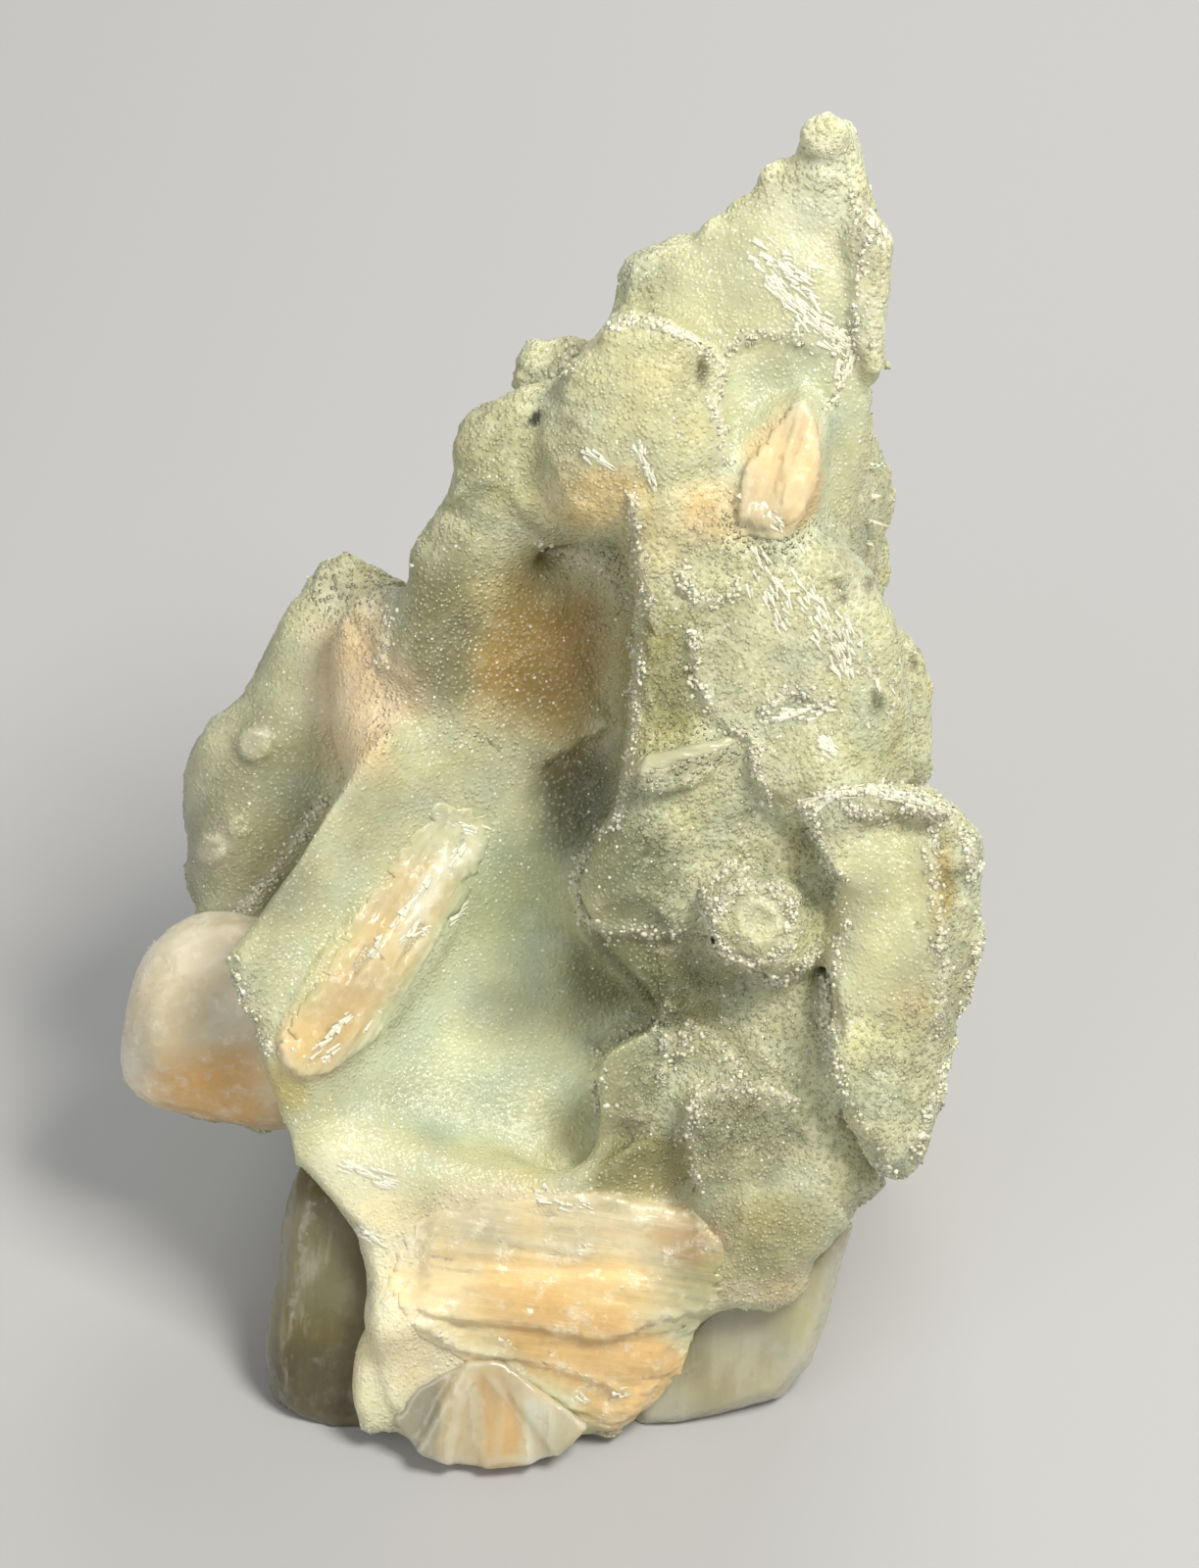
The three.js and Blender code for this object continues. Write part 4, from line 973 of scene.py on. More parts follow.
# The relief of the crust, in metres: how wide and how far its forms are warped, the widths of its large
# and small steps and of its finest bumps, and the width of the waver in the ledges' lines.
WARP, WARP_REACH = 0.004, 0.0011
LARGE_STEP, SMALL_STEP = 0.0042, 0.0019
FINE = 0.0007
WAVER = 0.0006
# How far the ledges' lines waver on the sheet, in mm.
WAVER_REACH = 0.16
# The relief starts between these heights over the ground, so that the foot stays flat.
FOOT = (0.0002, 0.0012)
# Rounds of smoothing after the flat layers are pulled to their heights.
SHELF_LEVELLING = 12


def crust_relief(points, props):
    """How far the crust's knobs, small steps and finest bumps stand out at each point."""
    warped = points + waves(points, WARP, (1, 4, 7)) * WARP_REACH
    ledges = (stairs(2.2 * wave(warped, LARGE_STEP, 8))
              + 0.6 * stairs(1.8 * wave(warped, SMALL_STEP, 10)))
    return (props.knob_rise * (knobs(warped, props.knob) - 0.6) + props.ledge_rise * ledges
            + props.fine_rise * wave(points, FINE, 5))


def make_matrix(props):
    """The crust's mesh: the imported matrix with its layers, knobs and small steps."""
    crust = remeshed(packed_matrix(), "crust", props.voxel, 3)
    points = vertex_data(crust, "co")
    places = seen_places(points)
    smooth = zones_share(places, SMOOTH_ZONES)
    points = levelled(crust, points, zones_share(places, LEVEL_ZONES), props.levelling)
    move_to(crust, points)
    points = shelved(crust, points)
    points = levelled(crust, points, zones_share(seen_places(points), LEVEL_ZONES), SHELF_LEVELLING)
    move_to(crust, points)
    off_base = ramp(points[:, 2], *FOOT)
    rise = crust_relief(points, props) * (1 - 0.88 * smooth) * off_base
    points += vertex_data(crust, "normal") * rise[:, None]
    places = seen_places(points)
    places[:, :2] += WAVER_REACH * waves(points, WAVER, (3, 9))
    lift, _, _ = ledge_field(places, LEDGES)
    seen = facing_share(crust, 0.0, 0.35) * ramp(places[:, 2], *FORM_DEPTH) * off_base
    move_to(crust, raised(points, lift * seen))
    crust = with_modifiers(crust, [("DECIMATE", {"ratio": props.keep})])
    face_attributes(crust, props)
    crust.shade_smooth()
    return crust


# A flush crystal ends where its share of the crust falls below this, and stands out in full above that.
SKIN_END, SKIN_FULL = 0.3, 0.7


def skin_of(crust, share, lift, depth):
    """A closed piece over the crust where its share is high enough. Its edge dips into the crust."""
    points = vertex_data(crust, "co")
    points += vertex_data(crust, "normal") * (lift * (2 * ramp(share, SKIN_END, SKIN_FULL) - 1))[:, None]
    copy = crust.copy()
    copy.vertices.foreach_set("co", points.ravel())
    bm = bmesh.new()
    bm.from_mesh(copy)
    outside = [vert for vert, inside in zip(bm.verts, share > SKIN_END) if not inside]
    bmesh.ops.delete(bm, geom=outside, context="VERTS")
    return with_modifiers(mesh_of(bm, "skin"), [
        ("SOLIDIFY", {"thickness": depth, "offset": -1}),
        ("SUBSURF", {"subdivision_type": "SIMPLE", "levels": 1, "render_levels": 1}),
    ])


def grain_mesh():
    """A small pointed crystal, one unit long, that stands on the origin."""
    bm = bmesh.new()
    bmesh.ops.create_cone(bm, cap_ends=True, segments=4, radius1=0.30, radius2=0.34, depth=0.5)
    top = [face for face in bm.faces if face.normal.z > 0.9]
    tip = bmesh.ops.poke(bm, faces=top)["verts"]
    bmesh.ops.translate(bm, verts=tip, vec=(0.05, 0.03, 0.25))
    return mesh_of(bm, "grain")


# How far a grain leans, the turn that it may have, and the range of its size.
GRAIN_LEAN = 0.45
GRAIN_TURN = 6.28
GRAIN_SIZES = (0.55, 1.25)


def scatter_tree(grain, spacing, size, seed):
    """Geometry nodes that cover a mesh with turned copies of a grain."""
    tree = bpy.data.node_groups.new("scatter", "GeometryNodeTree")
    tree.interface.new_socket("Mesh", in_out="INPUT", socket_type="NodeSocketGeometry")
    tree.interface.new_socket("Grains", in_out="OUTPUT", socket_type="NodeSocketGeometry")
    nodes = Nodes(tree)
    ground = nodes.add("NodeGroupInput")
    cover = nodes.add("GeometryNodeInputNamedAttribute", {"data_type": "FLOAT"}, {"Name": "cover"})
    spread = nodes.add("GeometryNodeDistributePointsOnFaces", {"distribute_method": "POISSON"}, {
        "Mesh": ground, "Distance Min": spacing, "Density Max": 1 / spacing ** 2,
        "Density Factor": cover, "Seed": seed})
    outward = Link(nodes, spread.socket.node.outputs["Normal"])
    lean = nodes.add("FunctionNodeRandomValue", {"data_type": "FLOAT_VECTOR"}, {
        0: (-GRAIN_LEAN,) * 3, 1: (GRAIN_LEAN,) * 3, "Seed": seed + 1})
    facing = nodes.add("ShaderNodeVectorMath", {"operation": "ADD"}, {0: outward, 1: lean})
    spin = nodes.add("FunctionNodeRandomValue", {"data_type": "FLOAT_VECTOR"}, {
        0: (0.0, 0.0, 0.0), 1: (0.0, 0.0, GRAIN_TURN), "Seed": seed + 2})
    turn = nodes.add("FunctionNodeAlignRotationToVector", {"axis": "Z"},
                     {"Rotation": spin, "Vector": facing})
    swell = nodes.add("GeometryNodeInputNamedAttribute", {"data_type": "FLOAT"}, {"Name": "swell"})
    scale = nodes.add("FunctionNodeRandomValue", {"data_type": "FLOAT"}, {
        2: GRAIN_SIZES[0] * size, 3: GRAIN_SIZES[1] * size, "Seed": seed + 3}, 1) * swell
    shape = nodes.add("GeometryNodeObjectInfo", None, {"Object": grain}, "Geometry")
    copies = nodes.add("GeometryNodeInstanceOnPoints", None, {
        "Points": spread, "Instance": shape, "Rotation": turn, "Scale": scale})
    # Each grain's chance of being painted as a glint.
    luck = nodes.add("FunctionNodeRandomValue", {"data_type": "FLOAT"}, {"Seed": seed + 4}, 1)
    marked = nodes.add("GeometryNodeStoreNamedAttribute", {"data_type": "FLOAT", "domain": "INSTANCE"}, {
        "Geometry": copies, "Name": "shine", "Value": luck})
    real = nodes.add("GeometryNodeRealizeInstances", None, {"Geometry": marked})
    nodes.add("NodeGroupOutput", None, {"Grains": real})
    return tree


def grown_grains(mesh, cover, swell, spacing, size, seed):
    """The mesh of all grains on a crust, where cover is above 0."""
    ground = mesh.copy()
    write_attribute(ground, "cover", cover)
    write_attribute(ground, "swell", swell)
    grain = bpy.data.objects.new("grain", grain_mesh())
    bpy.context.scene.collection.objects.link(grain)
    tree = scatter_tree(grain, spacing, size, seed)
    made = with_modifiers(ground, [("NODES", {"node_group": tree})])
    made.shade_smooth()
    bpy.data.objects.remove(grain)
    bpy.data.node_groups.remove(tree)
    return made


class SPECIMEN_OT_matrix(bpy.types.Operator):
    """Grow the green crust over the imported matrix"""
    bl_idname = "specimen.matrix"
    bl_label = "Druse Matrix"

    def execute(self, context):
        props = context.scene.specimen_druse
        mesh = make_matrix(props)
        paint = druse_paint(props, "green crust")
        new_piece("green_crust", mesh, paint, ["druse_matrix"])
        return {"FINISHED"}


# Places on the face where the grains stand close.
GRAIN_ZONES = {
    "grey lobe": ((7.4, -18.2), (4.0, 3.6), 0, 2, 0.9),
    "mid lobe": ((2.0, -14.6), (3.0, 2.8), 0, 2, 0.6),
    "bowl side": ((-3.2, -12.6), (3.4, 6.0), 0, 1.4, 0.5),
    "pillar": ((2.8, 5.0), (2.0, 8.0), 0, 2, 0.45),
    "wall left": ((-7.8, 9.0), (2.6, 5.0), 0, 1.6, 0.6),
    "slab foot": ((13.4, -15.4), (2.6, 4.2), -20, 1.6, 0.6),
}
# Bands of the crust that the grains are grown in, from the foot up: where each starts and ends up the
# sheet, in mm.
GRAIN_BANDS = {
    "foot_druse": (-60, -15),
    "middle_druse": (-15, 0),
    "shoulder_druse": (0, 13),
    "crown_druse": (13, 60),
}
SEEDS_PER_BAND = 10
# The grains thin out between these two places up the sheet, in mm.
GRAIN_THINNING = (-3.0, 4.0)
# They start between these heights over the ground, and stand in clumps this wide, in metres.
GRAIN_FOOT = (0.0004, 0.001)
CLUMP = 0.0026


class SPECIMEN_OT_grains(bpy.types.Operator):
    """Cover the crust with druse grains"""
    bl_idname = "specimen.grains"
    bl_label = "Druse Grains"

    def execute(self, context):
        props = context.scene.specimen_druse
        seed = context.scene.specimen_stage.seed
        crust = bpy.data.objects["green_crust"].data
        points = vertex_data(crust, "co")
        normals = vertex_data(crust, "normal")
        places = seen_places(points)
        up = places[:, 1]
        facing = ramp(-normals[:, 1] + 0.6 * normals[:, 2] + 0.4 * np.abs(normals[:, 0]), -0.5, 0.4)
        off_base = ramp(points[:, 2], *GRAIN_FOOT)
        smooth = attribute_of(crust, "smooth")
        rim = attribute_of(crust, "rim")
        hollow = attribute_of(crust, "hollow")
        crystals = np.max([skin_share(places, name) for name, (*_, rib, _) in SKINS.items() if rib], axis=0)
        clumps = ramp(wave(points, CLUMP, 16), 0.0, 0.5)
        sparse = 1 - 0.88 * ramp(up, *GRAIN_THINNING)
        cover = (0.3 + 0.7 * facing) * off_base * (1 - 0.85 * smooth) * (0.35 + 0.5 * clumps) * sparse
        cover = np.maximum(cover, zones_share(places, GRAIN_ZONES))
        cover = np.clip(cover + 0.5 * rim * sparse * off_base - 0.4 * hollow, 0, 1)
        cover *= 1 - 0.95 * ramp(crystals, 0.3, 0.6)
        swell = (0.75 + 0.6 * rim + 0.3 * clumps) * (1 - 0.4 * smooth)
        paint = druse_paint(props, "druse grains", True)
        for name, (low, high) in GRAIN_BANDS.items():
            inside = (up >= low) & (up < high)
            seed += SEEDS_PER_BAND
            mesh = grown_grains(crust, cover * inside, swell, props.spacing, props.grain, seed)
            new_piece(name, mesh, paint)
        return {"FINISHED"}


# Frost on the rims and the face, with painted glints and painted highlights


def face_tree(names):
    """A tree for finding the places of pieces under the camera."""
    bm = bmesh.new()
    for name in names:
        bm.from_mesh(bpy.data.objects[name].data)
    tree = BVHTree.FromBMesh(bm)
    bm.free()
    return tree


def under(tree, x, y):
    """The point and the normal that the camera sees at a place on the sheet, or None."""
    eye = SHEET_ORIGIN + FACING * CAMERA_DISTANCE
    aim = SHEET_ORIGIN + SHEET_TURN @ (Vector((x, y, 0)) * MM)
    point, normal, _, _ = tree.ray_cast(eye, (aim - eye).normalized())
    return (point, normal) if point else None


# Only rims at least this bright carry beads.
BEADED = 0.45
# How far the line of beads lies inside its ledge, how far it wanders, and how far beads stray, in mm.
BEAD_LINE, BEAD_WANDER, BEAD_STRAY = 0.25, 0.4, 0.2
BEAD_SIZES = (0.4, 0.6, 0.6, 0.8, 0.9, 1.1)
# The range of a bead's chance of being painted as a glint.
BEAD_SHINE = (0.72, 0.87)
# Thorns on the spire's right edge: foot on the sheet, direction in degrees and length in mm.
THORNS = [
    ((13.6, 13.4), -12, 1.5), ((13.9, 14.6), 14, 0.6), ((13.8, 16.2), 4, 0.7), ((14.1, 18.0), 10, 0.5),
    ((14.2, 19.6), 24, 0.6), ((14.3, 20.9), -16, 0.9), ((13.9, 22.4), 6, 0.5), ((13.7, 12.3), -30, 0.6),
]
# Half width and half thickness of a thorn's foot, in mm.
THORN_WIDTH, THORN_THICKNESS = 0.3, 0.22
# A thorn's chance of being painted as a glint.
THORN_SHINE = 0.8


def upright(direction):
    """The turn that brings the z axis to a direction."""
    return Vector((0, 0, 1)).rotation_difference(direction).to_matrix().to_4x4()


def add_bead(bm, point, normal, radius, chance):
    """Adds one turned, flattened bead, and returns its vertices."""
    turn = upright(normal)
    turn @= Matrix.Rotation(chance.uniform(0, math.tau), 4, "Z")
    turn @= Matrix.Rotation(chance.gauss(0, 0.5), 4, "X")
    size = Matrix.Diagonal((radius, radius * chance.uniform(0.6, 1), radius * 1.1, 1))
    spot = Matrix.Translation(point - normal * radius * 0.1)
    return bmesh.ops.create_icosphere(bm, subdivisions=1, radius=1, matrix=spot @ turn @ size)["verts"]


def add_thorn(bm, point, turn, long):
    """Adds one thorn that lies along the sheet, and returns its vertices."""
    along = sheet_turn(turn)
    spot = Matrix.Translation(point + along * long * 0.3 * MM)
    size = Matrix.Diagonal((THORN_WIDTH * MM, THORN_THICKNESS * MM, long * MM, 1))
    return bmesh.ops.create_cone(bm, cap_ends=True, segments=5, radius1=1, radius2=0.1, depth=1,
                                 matrix=spot @ upright(along) @ size)["verts"]


class SPECIMEN_OT_beads(bpy.types.Operator):
    """Set beads of druse along the rims of the layers"""
    bl_idname = "specimen.beads"
    bl_label = "Rim Beads"

    def execute(self, context):
        props = context.scene.specimen_druse
        chance = random.Random(context.scene.specimen_stage.seed + 1)
        tree = face_tree(["green_crust"])
        bm = bmesh.new()
        shine = []
        for _, _, _, bright, line in LEDGES:
            if bright < BEADED:
                continue
            part = bmesh.new()
            for start, end in zip(line, line[1:]):
                run = np.subtract(end, start)
                side = np.array((-run[1], run[0])) / math.hypot(*run)
                count = round(math.hypot(*run) / props.bead_spacing * MM * bright)
                places = np.array([(*(start + run * chance.random()), 0.0) for _ in range(count)])
                kept = [chance.random() for _ in range(count)] < kept_share(places)
                drift = BEAD_LINE + BEAD_WANDER * wave(places, 1.1, 15)
                for place, away in zip(places[kept, :2], drift[kept]):
                    hit = under(tree, *(place + side * (away + chance.gauss(0, BEAD_STRAY))))
                    if hit:
                        made = add_bead(part, *hit, props.bead * chance.choice(BEAD_SIZES), chance)
                        shine += [chance.uniform(*BEAD_SHINE)] * len(made)
            bm.from_mesh(mesh_of(part, "part"))
        for place, turn, long in THORNS:
            hit = under(tree, *place)
            if hit:
                shine += [THORN_SHINE] * len(add_thorn(bm, hit[0], turn, long))
        mesh = mesh_of(bm, "beads")
        move_to(mesh, vertex_data(mesh, "co"))
        # Beads have full rims: pale as frost, and as painted glow.
        for key, value in (("hollow", 0), ("smooth", 0), ("rim", 1)):
            write_attribute(mesh, key, np.full(len(mesh.vertices), value))
        write_attribute(mesh, "shine", shine)
        paint_tint(mesh, seen_places(vertex_data(mesh, "co")), props.pale, TINTS)
        mesh.shade_smooth()
        new_piece("rim_beads", mesh, druse_paint(props, "rim beads", True))
        return {"FINISHED"}


# White streaks of frost, seen on the sheet: start, end, half width in mm, number and size of flakes.
# On the spire, the right mass and the slab's top the flakes also stand in for painted highlights.
STREAKS = [
    ((8.0, 27.2), (10.8, 25.5), 0.6, 40, 1.0),
    ((8.7, 25.8), (11.2, 23.3), 0.6, 60, 1.2),
    ((11.2, 23.3), (12.8, 22.1), 0.7, 40, 1.0),
    ((12.8, 22.1), (12.4, 20.6), 0.4, 20, 0.8),
    ((-0.6, 16.9), (0.5, 16.2), 0.25, 12, 1.0),
    ((1.6, 18.1), (2.8, 14.9), 0.25, 26, 0.7),
    ((4.5, 22.9), (5.2, 22.4), 0.15, 6, 1.4),
    ((7.6, 14.7), (9.3, 13.2), 0.6, 30, 1.3),
    ((7.9, 12.0), (9.4, 8.0), 0.8, 30, 0.9),
    ((9.4, 11.8), (12.9, 6.0), 1.2, 54, 1.0),
    ((11.4, 8.0), (12.7, 5.5), 0.6, 22, 0.9),
    ((11.3, 2.2), (12.0, 1.5), 0.4, 16, 1.2),
    ((12.6, 9.6), (15.2, 3.4), 1.2, 24, 0.5),
    ((8.9, 3.4), (11.8, 4.0), 0.35, 26, 1.0),
    ((-11.5, -8.4), (-8.3, -4.4), 0.2, 40, 1.4),
    ((-9.1, -7.7), (-6.6, -6.1), 0.25, 24, 1.1),
    ((-8.7, -1.5), (-5.8, -2.5), 0.45, 34, 0.9),
    ((-8.6, -5.0), (-7.1, -3.0), 0.45, 24, 0.9),
    ((-12.4, -10.9), (-9.2, -7.0), 0.2, 24, 1.2),
    ((-14.6, -13.6), (-12.4, -11.6), 0.25, 16, 1.0),
    ((-15.4, -13.5), (-14.9, -13.2), 0.2, 8, 1.0),
    ((-13.9, -14.0), (-12.7, -13.2), 0.25, 14, 1.0),
    ((-12.0, -12.6), (-10.6, -10.9), 0.15, 14, 0.9),
    ((-13.0, -19.4), (-10.4, -20.5), 0.35, 22, 1.3),
    ((-12.2, -22.7), (-10.8, -23.4), 0.3, 14, 1.2),
    ((-3.2, -20.9), (-0.1, -21.9), 0.5, 20, 0.8),
    ((-5.3, -28.1), (-4.1, -28.6), 0.2, 12, 0.9),
    ((-1.2, -30.9), (0.1, -31.5), 0.25, 14, 0.9),
    ((0.7, -31.2), (2.0, -30.9), 0.25, 14, 0.9),
    ((10.3, -1.1), (13.9, -0.2), 0.3, 44, 0.9),
    ((13.9, -0.2), (18.3, -1.5), 0.3, 44, 0.9),
    ((13.7, 30.5), (14.7, 27.5), 0.5, 20, 0.7),
]


# How far ahead on the sheet a flake looks for its direction, in mm.
FLAKE_AHEAD = 0.4
# A flake's thickness as a share of the usual length, and its width as a share of its thickness.
FLAKE_THICKNESS = 0.24
FLAKE_WIDTH = 1.7


def flake_axes(normal, ahead, side, chance):
    """The turn of a flake that lies on the crust: across, up, and along its streak."""
    along = (ahead.normalized() + side.to_3d() * chance.gauss(0, 0.25)).normalized()
    along = (along - normal * along.dot(normal)).normalized()
    return Matrix((normal.cross(along), normal, along)).transposed().to_4x4()


def frost_paint():
    """The finish of the frost flakes: white as frost, and as painted highlights."""
    paint = Paint("white frost")
    mottle = paint.noise(0.0005, 3.0)
    return paint.surface({
        "Base Color": paint.mix(mottle, (0.68, 0.68, 0.50), (0.92, 0.91, 0.77)),
        "Roughness": 0.2 + 0.2 * mottle,
        "Normal": paint.bump(paint.noise(0.00012), 0.00005),
        "IOR": 1.5,
    })


class SPECIMEN_OT_frost(bpy.types.Operator):
    """Lay streaks of white flakes over the face: frost, and painted highlights"""
    bl_idname = "specimen.frost"
    bl_label = "Frost Flakes"

    def execute(self, context):
        props = context.scene.specimen_druse
        chance = random.Random(context.scene.specimen_stage.seed + 2)
        tree = face_tree(["green_crust"])
        bm = bmesh.new()
        for start, end, spread, count, size in STREAKS:
            part = bmesh.new()
            run = Vector(end) - Vector(start)
            side = Vector((-run.y, run.x)).normalized()
            for _ in range(count):
                place = Vector(start) + run * chance.random() + side * chance.gauss(0, spread / 2)
                hit = under(tree, *place)
                ahead = under(tree, *(place + run.normalized() * FLAKE_AHEAD))
                if hit is None or ahead is None:
                    continue
                point, normal = hit
                axes = flake_axes(normal, ahead[0] - point, side, chance)
                long = props.flake * size * chance.uniform(0.5, 1.5)
                thick = props.flake * FLAKE_THICKNESS * chance.uniform(0.6, 1.3)
                spot = Matrix.Translation(point + normal * thick * 0.15)
                made = bmesh.ops.create_cone(
                    part, cap_ends=True, segments=5, radius1=0.5, radius2=0.16, depth=1,
                    matrix=spot @ axes @ Matrix.Diagonal((thick * FLAKE_WIDTH, thick, long, 1)))
                for vert in made["verts"]:
                    vert.co += normal * chance.gauss(0, thick * 0.12)
            bm.from_mesh(mesh_of(part, "part"))
        mesh = mesh_of(bm, "flakes")
        move_to(mesh, vertex_data(mesh, "co"))
        mesh.shade_flat()
        new_piece("frost_flakes", mesh, frost_paint())
        return {"FINISHED"}


# Larger crystals


def worn_crystal(node, growth, detail, soften):
    """A packed crystal, grown to fill its gap and rounded a little."""
    bm = merged_copy(node)
    grow(bm, growth)
    return remeshed(bm, node, detail, soften)


def ribbed(mesh, along, size, ratio, depth):
    """Raises ribs that run along a direction, ratio times as long as they are wide."""
    points = vertex_data(mesh, "co")
    along = np.array(along.normalized())
    run = points @ along
    drawn = points - np.outer(run * (1 - 1 / ratio), along)
    rib = 1 - 2 * np.abs(wave(drawn, size, 14)) + 0.4 * wave(points, size * 1.5, 12)
    points += vertex_data(mesh, "normal") * (depth * rib)[:, None]
    move_to(mesh, points)


# Rounds of smoothing that tell a crystal's worn edge, and how far it stands out, in metres, where its
# colour starts and where it is full.
WORN_ROUNDS, WORN_BULGE = 12, (0.00003, 0.00014)


def finish_crystal(mesh, base, tints, ledges=(), edge=0.8):
    """Writes a crystal's tint, rim and painted shade at its layers' feet, and raises its layers."""
    points = vertex_data(mesh, "co")
    places = seen_places(points)
    places[:, :2] += 0.2 * waves(points, 0.0012, (3, 9))
    rise, rim, foot = ledge_field(places, ledges)
    seen = facing_share(mesh, 0.0, 0.4)
    points = raised(points, rise * seen)
    move_to(mesh, points)
    worn = ramp(bulge(mesh, WORN_ROUNDS), *WORN_BULGE)
    write_attribute(mesh, "rim", np.maximum(edge * worn, rim))
    write_attribute(mesh, "hollow", foot * seen)
    paint_tint(mesh, seen_places(points), base, tints)
    mesh.shade_smooth()


# Sizes of the patterns in the crystals' paint, and the depth of its bumps, in metres.
FIBRE = 0.0005
CRYSTAL_BLOTCH = 0.0012
CRYSTAL_SUGAR = 0.00028
CRYSTAL_FACET = 0.0003
CRYSTAL_BUMP = 0.00014
# How many times as long as wide the fibres are.
FIBRE_LENGTH = 14


def crystal_paint(name, along, edge, dark, glow, frost, fibre=FIBRE, inputs=None):
    """A pearly crystal, drawn out along its length, with frosted patches and edges."""
    paint = Paint(name)
    fibres = paint.noise(fibre, 3.0, 0.55, paint.stretched(along, FIBRE_LENGTH))
    mottle = paint.noise(CRYSTAL_BLOTCH, 4.0, 0.62)
    sugar = paint.cells(CRYSTAL_SUGAR).span(0.45, 0.1)
    tint = paint.attribute("tint", "Color")
    rim = paint.attribute("rim")
    base = paint.mix(fibres.span(0.5, 0.3) * 0.12, tint, dark)
    base = paint.mix(fibres.span(0.52, 0.72) * 0.2, base, edge)
    # Painted shade: in the hollows and at the layers' feet.
    base = paint.mix(paint.attribute("hollow") * 0.6, base, dark)
    cover = mottle.span(0.5, 0.7) * frost
    # Frosted patches and lighter rims; the rims that come from the crust hold its painted glow too.
    base = paint.mix((cover * (0.55 + 0.45 * sugar) + rim * 0.45).at_most(1.0) * 0.8, base, edge)
    relief = fibres * 0.6 + mottle * 0.25 + cover * sugar * 0.4
    return paint.surface({
        "Base Color": base,
        "Roughness": 0.38 - 0.18 * fibres,
        "Normal": paint.bump(relief, CRYSTAL_BUMP, paint.facets(CRYSTAL_FACET, 0.2 + 0.4 * cover)),
        "IOR": 1.5,
        "Subsurface Weight": 0.55,
        "Subsurface Radius": (1.0, 0.78, 0.45),
        "Subsurface Scale": glow,
        **(inputs or {}),
    }, paint.attribute("seam"))


# Patches on the tooth: the peach foot and the pearly top.
TOOTH_TINTS = [
    ((-19.8, -16.4), (4.6, 4.0), 20, 1.5, (0.74, 0.46, 0.17), 0.95),
    ((-22.4, -9.0), (2.6, 3.6), 0, 1.5, (0.84, 0.76, 0.54), 0.7),
]
TOOTH_EDGE, TOOTH_DARK = (0.97, 0.93, 0.80), (0.62, 0.44, 0.26)


class SPECIMEN_OT_tooth(bpy.types.Operator):
    """Make the pearly tooth at the left edge"""
    bl_idname = "specimen.tooth"
    bl_label = "Pearly Tooth"

    def execute(self, context):
        props = context.scene.specimen_crystal
        mesh = worn_crystal("left_tooth", props.grow, 0.0003, 12)
        ribbed(mesh, sheet_turn(70), 0.003, 2, 0.00012)
        finish_crystal(mesh, props.pearl, TOOTH_TINTS)
        material = crystal_paint("pearly tooth", sheet_turn(20), TOOTH_EDGE, TOOTH_DARK, glow=0.0022,
                                 frost=0.7, fibre=0.0011)
        new_piece("pearly_tooth", mesh, material, ["left_tooth"])
        return {"FINISHED"}


# Outlines on the sheet of the crystals that the crust holds flush.
WALL_OUTLINE = (
    (-2.6, 11.8), (-5.3, 10.5), (-7.1, 8.0), (-8.6, 5.0), (-7.1, 2.8), (-3.3, 0.5), (1.0, 3.2), (1.1, 8.0),
    (0.9, 10.5))
STRIP_OUTLINE = (
    (-11.3, 10.0), (-13.9, 10.0), (-14.2, 8.0), (-14.5, 5.0), (-14.3, 0.5), (-13.1, 0.0), (-11.6, 2.0),
    (-11.0, 5.0), (-10.8, 8.0))
BLADE_OUTLINE = (
    (-16.6, -13.8), (-15.6, -15.0), (-13.8, -14.8), (-10.6, -12.5), (-8.6, -9.2), (-6.7, -5.8),
    (-5.6, -3.0), (-5.9, -1.3), (-8.3, -0.9), (-9.2, -2.2), (-11.6, -5.2), (-13.3, -8.0), (-15.6, -11.8))
SMALL_OUTLINE = (
    (7.1, 12.6), (9.7, 12.4), (10.9, 14.6), (11.3, 16.4), (11.1, 18.5), (10.5, 19.7), (9.8, 19.4),
    (9.1, 18.5), (7.4, 16.2), (7.0, 14.8))
SPLINTER_OUTLINE = (
    (1.6, 0.2), (4.6, 1.2), (7.7, 2.2), (7.6, 2.6), (4.4, 2.0), (1.4, 1.2))
SHEAF_OUTLINE = (
    (-10.9, -25.6), (-10.2, -23.2), (-8.4, -21.6), (-3.3, -21.0), (0.1, -20.8), (4.8, -21.6), (6.4, -23.6),
    (6.3, -26.6), (4.6, -30.0), (1.9, -32.8), (-1.2, -33.2), (-5.0, -30.4), (-9.2, -28.2))[::-1]

# Node, slot, outline, softness of its edge in mm, direction of its ribs, rib height in mm, and how much
# frost lies on it. A crystal with no ribs has the crust's own finish.
SKINS = {
    "brown_crystal": ("recess_crystal", "brown_crystal", WALL_OUTLINE, 1.6, 0, 0, 0),
    "side_blade": ("side_crystal", "peach_crystal", STRIP_OUTLINE, 1.6, 0, 0, 0),
    "peach_blade": ("bowl_blade", "peach_crystal", BLADE_OUTLINE, 0.5, 55, 0.1, 0.6),
    "small_blade": ("upper_blade", "peach_crystal", SMALL_OUTLINE, 0.4, 72, 0.09, 0.25),
    "clear_wedge": ("clear_splinter", "clear_crystal", SPLINTER_OUTLINE, 0.5, 15, 0.02, 0.05),
    "layered_sheaf": ("base_sheaf", "peach_crystal", SHEAF_OUTLINE, 0.8, -9, 0.07, 0.9),
}


# Widths of the ribs of flush and clear crystals in metres, and how many times as long they are.
WIDE_RIB, FINE_RIB = 0.0008, 0.0004
RIB_LENGTH = 10
# Colour between the fibres of a flush crystal, and of the painted shade in its hollows and at its layers'
# feet.
SKIN_DARK = (0.78, 0.50, 0.20)
# A seam is full this near to an outline and ends that far from it, in mm.
SEAM = (0.3, 1.5)
